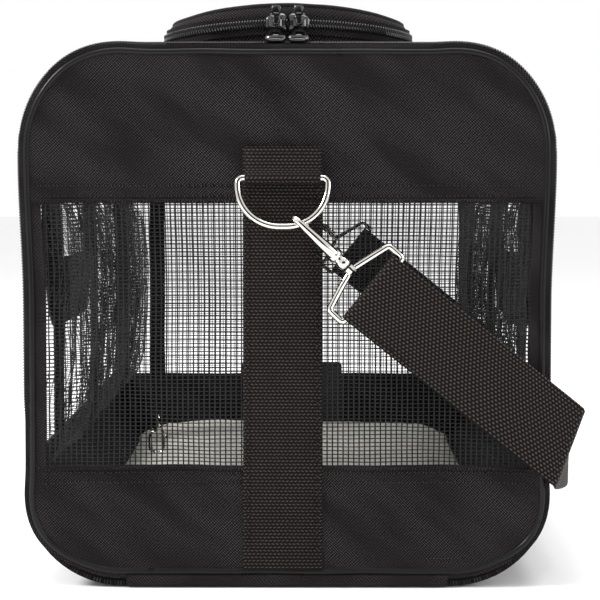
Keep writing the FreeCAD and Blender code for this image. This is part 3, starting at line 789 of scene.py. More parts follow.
class CARRIER_OT_shell(bpy.types.Operator):
    """Sew the padded panels of the base, the sides and the roof"""
    bl_idname = "carrier.shell"
    bl_label = "Padded shell"

    def execute(self, context):
        gauge = sizes().fabric
        wrap = Wrap(gauge / 2)
        at_base = wrap.where(lambda x, z: x >= BASE_HALF)
        at_low = wrap.where(lambda x, z: z >= WINDOW_LOW)
        at_high = wrap.where(lambda x, z: z >= WINDOW_HIGH)
        at_hatch = wrap.where(lambda x, z: z > ROOF / 2 and x <= HATCH_HALF + 1)

        def skin(sign, s, y, slack):
            x, z = wrap.at(s)
            point = settle(sign * x, y, z)
            drift = slack * (1.3 * ripple(s / 45, y / 60, sign * 3) + 0.6 * ripple(s / 16, y / 30, sign * 5))
            edge = smooth(y, SHELL_NEAR, SHELL_NEAR + 25) * (1 - smooth(y, WALL_FAR - 25, WALL_FAR))
            lean = Vector((sign * smooth(x, 40, HALF), 0, 1 if z > ROOF / 2 else -1)).normalized()
            return point - lean * max(0, drift + 0.6) * edge

        def panel(name, sign, s0, s1, start, slack, seams):
            piece = Piece(name, "polyester")
            ss = between(s0, s1, max(3, int((s1 - s0) / 4)))
            ys = between(start, WALL_FAR, int((WALL_FAR - start) / 6))
            piece.sheet(lambda s, y: skin(sign, s, y, slack), ss if sign > 0 else ss[::-1], ys, gauge)
            for seam in seams:
                line = [skin(sign, seam, y, slack) for y in between(WALL_NEAR + 2, WALL_FAR - 3, 90)]
                piece.stitches([p + Vector((sign * gauge / 2, 0, 0)) for p in line], (sign, 0, 0))
            piece.done("carrier", name)

        base = Piece("base_panel", "polyester")
        flat = gauge / 2
        base.sheet(lambda x, y: (x, y, flat), between(-BASE_HALF, BASE_HALF, 30),
                   between(SHELL_NEAR, WALL_FAR, 60), gauge)
        for x in (-BASE_HALF + 4, BASE_HALF - 4):
            line = [Vector((x, y, gauge)) for y in between(SHELL_NEAR + 4, WALL_FAR - 4, 60)]
            base.stitches(line, (0, 0, 1))
        base.done("carrier", "base_panel")
        for side, sign in SIDES:
            panel(f"lower_band_{side}", sign, at_base, at_low + 2, SHELL_NEAR, 0.35,
                  [at_low - gap for gap in SEAM_GAPS])
            panel(f"top_panel_{side}", sign, at_high - 2, at_hatch, WALL_NEAR, 1.0,
                  [at_high + gap for gap in SEAM_GAPS])

        def roof(name, sign, y_end):
            piece = Piece(name, "polyester")

            def place(x, t):
                round_part = max(0, abs(x) - HATCH_FLAT)
                rounding = HATCH_RADIUS - math.sqrt(max(0, HATCH_RADIUS ** 2 - round_part ** 2))
                curve = HATCH_END - rounding
                y = sign * (curve - 1.5) * (1 - t) + y_end * t
                dip = 0.8 * max(0, ripple(x / 22, y / 14, 4))
                return settle(x, y, ROOF - gauge / 2) + Vector((0, 0, -dip))

            ts = between(0, 1, 14)
            xs = between(-HATCH_HALF - 1, HATCH_HALF + 1, 46)
            piece.sheet(place, xs, ts if sign > 0 else ts[::-1], gauge)
            piece.done("carrier", name)

        roof("roof_strip_near", -1, WALL_NEAR)
        roof("roof_strip_far", 1, WALL_FAR)
        return {"FINISHED"}


# ---------------------------------------------------------------- the ends

def end_place(sign, x, z, proud=0.0):
    """A point on an end's cloth, which is held at its rim and at the webbing; sign is -1 at the door."""
    face = NEAR_END if sign < 0 else FAR_END
    rim = SECTION.inset(2 * PIPING)
    free = min(1, (rim.half_at(z) - abs(x)) / 22) * min(1, (rim.high - z) / 18) * min(1, (z - rim.low) / 18)
    free = max(0, free) * (0.2 + 0.8 * smooth(abs(x - (WEBBING[0].x + WEBBING[1].x) / 2), 17, 42))
    y = face - sign * (PIPING + 0.3) - sign * (crease(x, z) * free + 0.9 * free)
    point = hang(sign, x, z)
    return Vector((point.x, y + sign * proud, point.z))


class CARRIER_OT_ends(bpy.types.Operator):
    """Sew the two end panels: fabric bands, hems and the piping round them"""
    bl_idname = "carrier.ends"
    bl_label = "End panels"

    def execute(self, context):
        for prefix, sign, body in ENDS:
            self.bands(prefix, sign, body)
            self.piping(prefix, sign, body)
            refinish(f"{prefix}_frame_wire", "drawn_steel")
        return {"FINISHED"}

    def bands(self, prefix, sign, body):
        rim = SECTION.inset(2 * PIPING - 0.8)
        spans = (("bottom_panel", rim.low, WINDOW_LOW), ("top_panel", WINDOW_HIGH, rim.high))
        for name, low, high in spans:
            piece = Piece(f"{prefix}_{name}", "polyester")
            top = name == "top_panel"

            def place(u, v):
                t = math.sin(v * math.pi / 2) if top else 1 - math.cos(v * math.pi / 2)
                z = low + (high - low) * t
                return end_place(sign, u * rim.half_at(z), z)

            us = between(-1, 1, 110)
            piece.sheet(place, us[::-1] if sign > 0 else us, between(0, 1, 40), 1.3)
            piece.cloth = [(p.x, p.z, 0) for p in piece.points]
            edge = WINDOW_HIGH if top else WINDOW_LOW
            away = 1 if top else -1
            hem = [end_place(sign, x, edge + away * 1.2, 1.0) for x in between(-HALF + 6, HALF - 6, 90)]
            piece.tube(hem, 0.7, sides=8)
            for gap in (3.4, 8.4):
                xs = between(-HALF + 8, HALF - 8, 120)
                line = [end_place(sign, x, edge + away * gap, 0.9) for x in xs]
                piece.stitches(line, (0, sign, 0))
            piece.done(body, f"{prefix}_{name}")

    def piping(self, prefix, sign, body):
        face = NEAR_END if sign < 0 else FAR_END
        y = face - sign * PIPING
        bead = Piece(f"{prefix}_piping", "vinyl")
        path = []
        thick = PIPING * 0.62
        for x, z in SECTION.inset(PIPING + 0.8).loop(3.0):
            point = hang(sign, x, z)
            wobble = 0.35 * ripple(x / 25, z / 25, 9)
            path.append(Vector((point.x, y, point.z + wobble)))
        bead.tube(path, thick, closed=True, sides=14)
        bead.done(body, f"{prefix}_piping")
        flange = []
        for x, z in SECTION.inset(PIPING + 1.6).loop(3.0):
            point = hang(sign, x, z)
            flange.append(Vector((point.x, y - sign * thick * 0.5, point.z)))
        tape = Piece(f"{prefix}_edge_tape", "polyester")
        tape.sweep(flange + flange[:1], [(-5.2, 0.5), (4.4, 0.5), (4.4, -0.5), (-5.2, -0.5)],
                   [Vector((p.x, 0, p.z - ROOF / 2)) for p in flange + flange[:1]])
        tape.done(body)


def strand(piece, path, across, width, gauge):
    """One flattened yarn of a mesh."""
    w, g = width / 2, gauge / 2
    piece.sweep(path, [(-w, g * 0.3), (-w * 0.4, g), (w * 0.4, g), (w, g * 0.3), (0, -g)], across)


class CARRIER_OT_windows(bpy.types.Operator):
    """Weave the mesh windows of the ends, the sides and the hatch"""
    bl_idname = "carrier.windows"
    bl_label = "Mesh windows"

    def execute(self, context):
        gap, rise = sizes().strand_gap, sizes().strand_rise
        for prefix, sign, body in ENDS:
            piece = Piece(f"{prefix}_mesh", "window_mesh")
            half = HALF - 2 * PIPING - 1
            columns = int(2 * half / gap)
            for i in range(columns + 1):
                x = (i - columns / 2) * gap
                path = [end_place(sign, x, z, -0.4) for z in between(WINDOW_LOW - 2, WINDOW_HIGH + 2, 24)]
                strand(piece, path, (1, 0, 0), 0.66 if sign < 0 else 0.5, 0.45)
            rows = int((WINDOW_HIGH - WINDOW_LOW) / rise)
            for i in range(rows + 1):
                z = WINDOW_LOW + i * rise
                path = [end_place(sign, x, z, -0.1) for x in between(-half, half, 60)]
                strand(piece, path, (0, 0, 1), 0.5 if sign < 0 else 0.38, 0.35)
            piece.done(body, f"{prefix}_mesh")
        for side, sign in SIDES:
            self.side_window(side, sign, gap, rise)
        return {"FINISHED"}

    def side_window(self, side, sign, gap, rise):
        piece = Piece(f"side_mesh_{side}", "window_mesh")
        height = WINDOW_HIGH - WINDOW_LOW

        def place(y, z, lift=0.0):
            held = math.sin(math.pi * (z - WINDOW_LOW + 3) / (height + 6)) ** 0.25
            ends = smooth(y, WALL_NEAR, WALL_NEAR + 20) * (1 - smooth(y, WALL_FAR - 20, WALL_FAR))
            wave = y + 22 * math.sin(z / 38 + sign) + 14 * ripple(y / 60, z / 70, sign * 4)
            reach = 34 + 22 * ripple(z / 34, sign)
            slack = (19.0 if sign < 0 else 8.0) * smooth(y, WALL_NEAR - 9, WALL_NEAR + reach)
            pleat = 5.0 * math.sin(wave / 8.5) * smooth(y, WALL_NEAR + 20, WALL_NEAR + 50)
            fold = max(0.0, slack + pleat + 3.0 * abs(ripple(y / 13, z / 50, sign)))
            point = settle(sign * (HALF - 1.0), y, z)
            return point - Vector((sign * (fold * held * ends + lift), 0, 0))

        columns = int((WALL_FAR - WALL_NEAR) / gap)
        for i in range(columns + 1):
            y = WALL_NEAR + i * gap
            path = [place(y, z) for z in between(WINDOW_LOW - 2, WINDOW_HIGH + 2, 28)]
            strand(piece, path, (0, 1, 0), 0.5, 0.35)
        for i in range(int(height / rise) + 1):
            z = WINDOW_LOW + i * rise
            path = [place(y, z, 0.3) for y in between(WALL_NEAR, WALL_FAR, 190)]
            strand(piece, path, (0, 0, 1), 0.42, 0.3)
        piece.done("carrier", f"side_mesh_{side}")


# ---------------------------------------------------------------- the zips

def teeth(piece, path, sides, outwards, lean, shift):
    """One row of a coil's teeth. Each leans, and they keep an even pitch along the path."""
    pitch = sizes().tooth_pitch
    travelled, due = 0.0, shift * pitch
    for i, (a, b) in enumerate(zip(path, path[1:])):
        size = (b - a).length
        while due <= travelled + size:
            t = (due - travelled) / size
            centre = a.lerp(b, t)
            side = (sides[i].lerp(sides[i + 1], t)).normalized()
            out = (outwards[i].lerp(outwards[i + 1], t)).normalized()
            ahead = (b - a).normalized()
            reach = (side + ahead * lean).normalized()
            base = centre + out * 0.15
            spots = [base - reach * 0.1, base + reach * 0.3 + out * 0.55, base + reach * 1.5 + out * 0.6,
                     base + reach * 2.1]
            piece.tube(spots, [0.28, 0.42, 0.42, 0.3], sides=6)
            due += pitch
        travelled += size


def arch(x):
    """How far the hatch's rim falls from its middle to its sides."""
    return -6.0 * (x / HATCH_HALF) ** 2


class CARRIER_OT_zips(bpy.types.Operator):
    """Sew the two coil zips: the end door's and the hatch's"""
    bl_idname = "carrier.zips"
    bl_label = "Zips"

    def execute(self, context):
        self.end_zip()
        self.hatch_zip()
        return {"FINISHED"}

    def end_zip(self):
        middle = corners("end_slider_left")[0].y + 3
        ring = [(x, z) for x, z in SECTION.loop(2.5) if z > WINDOW_LOW]
        right = sorted((p for p in ring if p[0] >= 0), key=lambda p: math.atan2(p[1] - ROOF / 2, p[0]))
        left = sorted((p for p in ring if p[0] < 0), key=lambda p: math.atan2(p[1] - ROOF / 2, p[0]) % TURN)
        run = right + left
        tapes = (("end_zip", middle + 0.3, WALL_NEAR + 1, "carrier", 1),
                 ("end_door_zip", DOOR_BACK - 1.0, middle - 0.3, "end_door", -1))

        def path(y, out):
            points = []
            for x, z in run:
                point = settle(x, NEAR_END, z)
                if abs(x) > HALF - 0.2 and z < SIDE_TOP:
                    away = Vector((math.copysign(1, x), 0, 0))
                else:
                    away = Vector((x if abs(x) > HALF - 0.5 else x * 0.6, 0, z - ROOF / 2)).normalized()
                clear = smooth(z, WINDOW_LOW, WINDOW_LOW + 35)
                proud = out * clear - 1.3 * (1 - clear)
                points.append((Vector((point.x, y, point.z)) + away * proud, away))
            return points

        for name, y0, y1, body, way in tapes:
            tape = Piece(name, "polyester")
            us = list(range(len(run)))
            near, far = path(y0, 0.2), path(y1, 0.2)
            tape.sheet(lambda u, t: near[u][0].lerp(far[u][0], t), us, between(0, 1, 4), 0.7)
            tape.cloth = [(u * 2.5, t * (y1 - y0), 0) for u, t, _ in tape.cloth]
            tape.done(body, name)
            row = Piece(f"{name}_teeth", "coil")
            line = path(middle, 0.9)
            spots, outs = zip(*line)
            teeth(row, spots, [Vector((0, way, 0))] * len(line), outs, 0.35, 0.25 + 0.25 * way)
            row.done(body)

    def hatch_zip(self):
        gap = (COLLAR_TOP + LID_LOW) / 2
        outline = HATCH.loop(2.5)
        outline = outline + outline[:1]
        outs = []
        for i, (x, y) in enumerate(outline):
            ahead = Vector(outline[(i + 1) % (len(outline) - 1)]) - Vector(outline[i - 1 if i else -2])
            outs.append(Vector((ahead.y, -ahead.x, 0)).normalized())
        tapes = (("hatch_zip", gap - 5.2, gap - 0.2, "carrier", ("hatch_zip",), -1),
                 ("lid_zip", gap + 0.2, gap + 4.0, "top_door", (), 1))
        for name, z0, z1, body, nodes, way in tapes:
            tape = Piece(name, "polyester")
            us = list(range(len(outline) - 1))
            spots = [Vector((x, y, arch(x))) + out * 0.5 for (x, y), out in zip(outline, outs)]
            tape.sheet(lambda u, z: spots[u] + Vector((0, 0, z)), us, between(z0, z1, 3), 0.7, ring=True)
            tape.cloth = [(u * 2.5, z, 0) for u, z, _ in tape.cloth]
            tape.done(body, *nodes)
            row = Piece(f"{name}_teeth", "coil")
            line = [s + out * 0.6 + Vector((0, 0, gap)) for s, out in zip(spots, outs)]
            teeth(row, line, [Vector((0, 0, way))] * len(line), outs, 0.35, 0.25 + 0.25 * way)
            row.done(body)


class CARRIER_OT_sliders(bpy.types.Operator):
    """Mould the zip sliders and their pulls"""
    bl_idname = "carrier.sliders"
    bl_label = "Sliders and pulls"

    def execute(self, context):
        half_shield = [(-5.0, 0.0), (-5.0, 2.0), (-4.2, 3.2), (-2.2, 3.9), (1.2, 4.2), (3.8, 4.3), (4.9, 3.4),
                       (4.9, 1.8), (4.2, 0.8)]
        shield = half_shield + [(x, -y) for x, y in half_shield[:0:-1]]
        plate = [(0.0, 0.93), (0.3, 1.0), (1.0, 1.0), (1.5, 0.88)]
        for side, sign in SIDES:
            ahead, level = Vector((-sign, 0, 0)), Vector((1, 0, 0))
            low, high = corners(f"end_slider_{side}")
            middle = (low + high) / 2
            drop = settle(middle.x, NEAR_END, ROOF).z - ROOF
            tall = [(z * 1.7, scale) for z, scale in plate]
            origin = Vector((middle.x, middle.y, low.z + drop + 1.0))
            self.slider(f"end_slider_{side}", shield, tall, origin, ahead, Vector((0, -sign, 0)), 1.5)
            low, high = corners(f"end_pull_{side}")
            hinge = Vector(((low.x + high.x) / 2, low.y - 1.2, low.z + drop + 3.4))
            self.pull(f"end_pull_{side}", hinge, Vector((0, 1, 0.05)).normalized(), level, high.y - low.y)
            low, high = corners(f"hatch_slider_{side}")
            middle = (low + high) / 2
            origin = Vector((middle.x, high.y - 0.2, middle.z))
            self.slider(f"hatch_slider_{side}", shield, plate, origin, ahead, Vector((0, 0, -sign)))
            low, high = corners(f"hatch_pull_{side}")
            hinge = Vector(((low.x + high.x) / 2, high.y - 0.6, low.z + 0.6))
            self.pull(f"hatch_pull_{side}", hinge, Vector((0, 0, 1)), level, high.z - low.z)
        return {"FINISHED"}

    def slider(self, name, shield, plate, origin, ex, ey, tall=1.0):
        ez = ex.cross(ey)
        piece = Piece(name, "enamel")
        piece.moulded(shield, plate, origin, ex, ey)
        bow = ((-3.8, 1.2), (-3.6, 2.5), (-2.4, 3.4), (0, 3.7), (1.8, 3.2), (3.0, 2.2), (3.2, 1.2))
        bridge = [origin + ex * x + ez * z * tall for x, z in bow]
        piece.sweep(bridge, [(-1.5, 0.3), (-1.1, 0.6), (1.1, 0.6), (1.5, 0.3), (1.5, -0.5), (-1.5, -0.5)], ey)
        for y in (-1, 1):
            rail = [origin + ex * x + ey * y * 4.1 + ez * 0.2 * tall for x in (-3.0, -1.5, 1.5, 3.6)]
            piece.tube(rail, [0.5, 0.9, 0.9, 0.6], sides=8)
        piece.done(name, name)

    def pull(self, name, hinge, ahead, across, length):
        piece = Piece(name, "enamel")
        up = across.cross(ahead)
        half_ring = [(-1.0, 0.2), (-1.5, 1.4), (-1.5, 3.4), (-1.0, 4.4)]
        whole_ring = half_ring + [(-x, t) for x, t in half_ring[::-1]]
        ring = [hinge + across * x + ahead * t for x, t in whole_ring]
        piece.tube(ring, 0.5, closed=True, sides=8)
        half_tab = [(-1.3, 0.0), (-2.1, 1.0), (-2.3, length - 5.6), (-1.6, length - 4.8)]
        tab = half_tab + [(-x, t) for x, t in half_tab[::-1]]
        levels = [(-0.6, 0.9), (-0.3, 1.0), (0.3, 1.0), (0.6, 0.9)]
        piece.moulded(tab, levels, hinge + ahead * 4.2, across, ahead)
        grip = [hinge + ahead * t + across * x + up * 0.65 for t, x in ((5.4, -1.3), (5.4, 1.3))]
        piece.tube(grip, 0.25, sides=6)
        piece.done(name, name)


# ---------------------------------------------------------------- the hatch

class CARRIER_OT_hatch(bpy.types.Operator):
    """Sew the raised collar and the crowned lid with its mesh window"""
    bl_idname = "carrier.hatch"
    bl_label = "Roof hatch"

    def execute(self, context):
        outline = HATCH.loop(4.0)
        us = list(range(len(outline)))
        collar = Piece("hatch_collar", "polyester")

        def wall(u, z):
            x, y = outline[u]
            lean = 0.6 * ripple(u / 6, z / 9, 2)
            foot = settle(x, y, ROOF).z - ROOF if z < COLLAR_TOP - 7 else 0
            foot += arch(x) * smooth(z, ROOF - 1, COLLAR_TOP)
            scale = (HATCH_HALF - 1.1 + lean * 0.4) / HATCH_HALF
            return (x * scale, y - math.copysign(1.1, y), z + foot)

        heights = between(ROOF - 3, COLLAR_TOP, 6)
        collar.sheet(wall, us, heights, 1.8, ring=True)
        collar.cloth = [(u * 4.0, z, 0) for u, z, _ in collar.cloth]
        bead = [Vector((x + math.copysign(0.5, x), y + math.copysign(0.5, y), settle(x, y, ROOF).z + 0.9))
                for x, y in outline]
        collar.tube(bead, 1.1, closed=True, sides=8)
        collar.done("carrier", "hatch_collar")

        border = corners("lid_mesh")
        inner = Outline(border[1].x, border[0].y, border[1].y, HATCH_RADIUS - 13, HATCH_RADIUS - 13)
        edge_high = border[0].z + 1.4

        def crown(x, y):
            rise = LID_HIGH - 1 - edge_high
            soft = 0.7 * max(0, ripple(x / 20, y / 34, 8))
            return edge_high + rise * (1 - (x / HATCH_HALF) ** 2) + arch(x) - soft

        lid = Piece("lid_rim", "polyester")
        inner_points = inner.loop(4.0)
        count = len(outline)

        def top(u, t):
            x0, y0 = outline[u]
            k = u * len(inner_points) / count
            a, b = (inner_points[(int(k) + step) % len(inner_points)] for step in (0, 1))
            f = k - int(k)
            x1, y1 = (a[i] * (1 - f) + b[i] * f for i in (0, 1))
            x, y = x0 * 0.95 * (1 - t) + x1 * t, y0 * 0.985 * (1 - t) + y1 * t
            return (x, y, crown(x, y))

        lid.sheet(top, us, between(0, 1, 6), 1.6, ring=True)
        lid.cloth = [(u * 4.0, t * 13, 0) for u, t, _ in lid.cloth]

        def band(u, t):
            x, y = outline[u]
            low, high = LID_LOW + 0.8 + arch(x), crown(x * 0.95, y)
            lean = 1 - 0.035 * t ** 2
            bulge = 0.5 * math.sin(math.pi * t)
            scale = lean * (1 - (1.2 - bulge) / HATCH_HALF)
            length = y * (1 - 0.011 * t ** 2) - math.copysign(1.2 - bulge, y)
            return (x * scale, length, low + (high - low) * t)

        cut = len(lid.cloth)
        lid.sheet(band, us, between(0, 1, 5), 1.6, ring=True)
        lid.cloth[cut:] = [(u * 4.0, t * 9, 0) for u, t, _ in lid.cloth[cut:]]
        welt = [Vector(band(u, 1.0)) + Vector((0, 0, 0.1)) for u in us]
        lid.tube(welt, 1.5, closed=True, sides=8)
        seam = [Vector(top(u, 0.82)) + Vector((0, 0, 0.8)) for u in us]
        lid.stitches(seam + seam[:1], (0, 0, 1))
        lid.done("top_door", "lid_rim")

        mesh = Piece("lid_mesh", "window_mesh")
        gap, rise = sizes().strand_gap, sizes().strand_rise
        wide = inner.half + 2
        for i in range(int(2 * wide / gap) + 1):
            x = -wide + i * gap
            ys = between(inner.low - 2, inner.high + 2, 60)
            strand(mesh, [Vector((x, y, crown(x, y) - 0.9)) for y in ys], (1, 0, 0), 0.78, 0.5)
        for i in range(int((inner.high - inner.low + 4) / rise) + 1):
            y = inner.low - 2 + i * rise
            xs = between(-wide, wide, 14)
            strand(mesh, [Vector((x, y, crown(x, y) - 0.5)) for x in xs], (0, 1, 0), 0.6, 0.4)
        mesh.done("top_door", "lid_mesh")

        hinge = Piece("hatch_hinge_cloth", "polyester")
        x = -HATCH_HALF - 0.4

        def flap(y, z):
            return (x - 0.35 * math.sin(math.pi * (z - COLLAR_TOP + 3) / 7), y, z + arch(x))

        reach = HATCH_END - 40
        hinge.sheet(flap, between(-reach, reach, 60), between(COLLAR_TOP - 3, LID_LOW + 3, 8), 0.8)
        low = arch(x)
        hinge.done("carrier", blend=("top_door", (x, 0, COLLAR_TOP - 1 + low), (x, 0, LID_LOW + 1 + low)))
        return {"FINISHED"}


# ---------------------------------------------------------------- webbing and hardware

class CARRIER_OT_end_webbing(bpy.types.Operator):
    """Sew the webbing up each end and the folded loop that holds its D-ring"""
    bl_idname = "carrier.end_webbing"
    bl_label = "End webbing"

    def execute(self, context):
        low, high = WEBBING
        middle, width = (low.x + high.x) / 2, high.x - low.x
        for prefix, sign, body in ENDS:
            piece = Piece(f"{prefix}_webbing", "webbing")
            path = [end_place(sign, middle, z, 1.3 + 0.5 * max(0, ripple(z / 30, 2)))
                    for z in between(high.z, low.z - 1, 60)]
            piece.ribbon(path, (1, 0, 0), width, 1.4)
            for side in (-1, 1):
                row = [p + Vector((side * (width / 2 - 2.6), sign * 0.75, 0)) for p in path[4:-2]]
                piece.stitches(row, (0, sign, 0), radius=0.3)
            piece.done(body, f"{prefix}_webbing")
            self.loop(prefix, sign, body, middle)
        return {"FINISHED"}

    def loop(self, prefix, sign, body, middle):
        ring_low, ring_high = corners(f"{prefix}_ring_loop")
        bar = corners(f"{prefix}_ring")[1].z - 1.6
        bar_y = (ring_low.y if sign < 0 else ring_high.y) - sign * 3.3
        piece = Piece(f"{prefix}_ring_loop", "webbing")
        near_cloth = (ring_high.y if sign < 0 else ring_low.y) + sign * 0.7
        out, up = Vector((0, sign, 0)), Vector((0, 0, 1))
        centre = Vector((middle, bar_y, bar))
        path = [Vector((middle, near_cloth, z)) for z in between(ring_high.z + 1, bar + 4, 8)]
        path += arc(centre, out, up, 2.45, 160, 380, 16)
        path += [Vector((middle, near_cloth + sign * (1.45 + 1.2 * (1 - t)), z))
                 for t, z in zip(between(0, 1, 8), between(bar + 3.6, ring_high.z + 0.4, 8))]
        piece.ribbon(path, (1, 0, 0), 36, 1.2)
        for z in (ring_high.z - 2.5, ring_high.z - 7):
            front = near_cloth + sign * 2.3
            row = [Vector((x, front, z)) for x in between(middle - 15, middle + 15, 12)]
            piece.stitches(row, (0, sign, 0), radius=0.3)
        piece.done(body, f"{prefix}_ring_loop")


def clip_axes(prefix):
    """The swivel's place, the way along the clip, the way across it and the way out of the bag."""
    sign = -1 if prefix == "near" else 1
    joint = next(j for j in frame["joints"] if j["name"] == f"{prefix}_hook_swivel")
    along = Vector(joint["axis"]).normalized()
    out = Vector((0, sign, 0))
    return Vector(joint["pos_m"]) / MM, along, Vector((-along.z, 0, along.x)), out


class CARRIER_OT_hardware(bpy.types.Operator):
    """Plate the D-rings, snap hooks, gates and strap frames"""
    bl_idname = "carrier.hardware"
    bl_label = "Hardware"

    def execute(self, context):
        for prefix in ("near", "far"):
            refinish(f"{prefix}_ring", "nickel")
            self.hook(prefix)
            self.strap_frame(prefix)
        return {"FINISHED"}

    def hook(self, prefix):
        pivot, along, across, out = clip_axes(prefix)
        bend, reach = 5.0, 29.5
        piece = Piece(f"{prefix}_hook", "nickel")

        def at(x, y, z=0.0):
            return pivot + along * x + out * y + across * z

        crook = arc(pivot - along * reach, out, -along, bend, 0, 180, 17)
        slant = ((-9, bend - 1.6), (-12, bend - 0.6), (-16, bend), (-22, bend), (-27, bend))
        stem = [at(x, y) for x, y in slant]
        tip = [at(x, -bend) for x in (-27.5, -25.6, -25.2)]
        path = stem + crook + tip
        radii = [2.7, 2.7, 2.5, 2.1, 1.8] + [1.6] * len(crook) + [1.6, 1.5, 0.9]
        piece.tube(path, radii, sides=16)
        shoulder = [at(x, 0) for x in (-11, -10.2, -9.4, -7.2, -6.4, -5.8, -4.4, -3.8, -2.2, -1.2, -0.4, 0.0)]
        piece.tube(shoulder, [1.6, 3.4, 3.7, 3.7, 3.4, 2.6, 2.6, 3.2, 3.4, 3.2, 2.6, 1.4], sides=24)
        piece.tube([at(-9.8, -3.0), at(-9.8, -6.4)], [2.4, 2.2], sides=12)
        piece.done(f"{prefix}_hook", f"{prefix}_hook")
        gate = Piece(f"{prefix}_gate", "nickel")
        bar = [at(x, -bend) for x in (-24.6, -24.2, -18, -12, -10.6)]
        gate.tube(bar, [0.7, 1.4, 1.5, 1.5, 1.2], sides=14)
        pin = [at(-14.0, -bend, z) for z in (-2.6, -2.2, 2.2, 2.6)]
        gate.tube(pin, [0.7, 1.1, 1.1, 0.7], sides=12)
        gate.done(f"{prefix}_gate", f"{prefix}_gate")

    def strap_frame(self, prefix):
        pivot, along, across = clip_axes(prefix)[:3]
        piece = Piece(f"{prefix}_strap_frame", "nickel")

        def at(x, z):
            return pivot + along * x + across * z

        half = 20.8
        corner = [(2.6, 0), (3.0, 3.0), (4.6, 9.0), (6.2, 15.0), (7.4, 19.4), (8.3, 20.6), (9.6, half),
                  (13.0, half), (15.2, half), (16.2, 20.2), (FRAME_BAR, 18.8), (FRAME_BAR, 9.0)]
        loop = [at(x, z) for x, z in corner] + [at(FRAME_BAR, 0)] + [at(x, -z) for x, z in corner[:0:-1]]
        piece.tube(loop, 1.6, closed=True, sides=14)
        piece.tube([at(x, 0) for x in (0.4, 0.8, 3.4, 4.4)], [2.0, 2.9, 2.9, 1.6], sides=20)
        piece.done(f"{prefix}_strap", f"{prefix}_strap_frame")


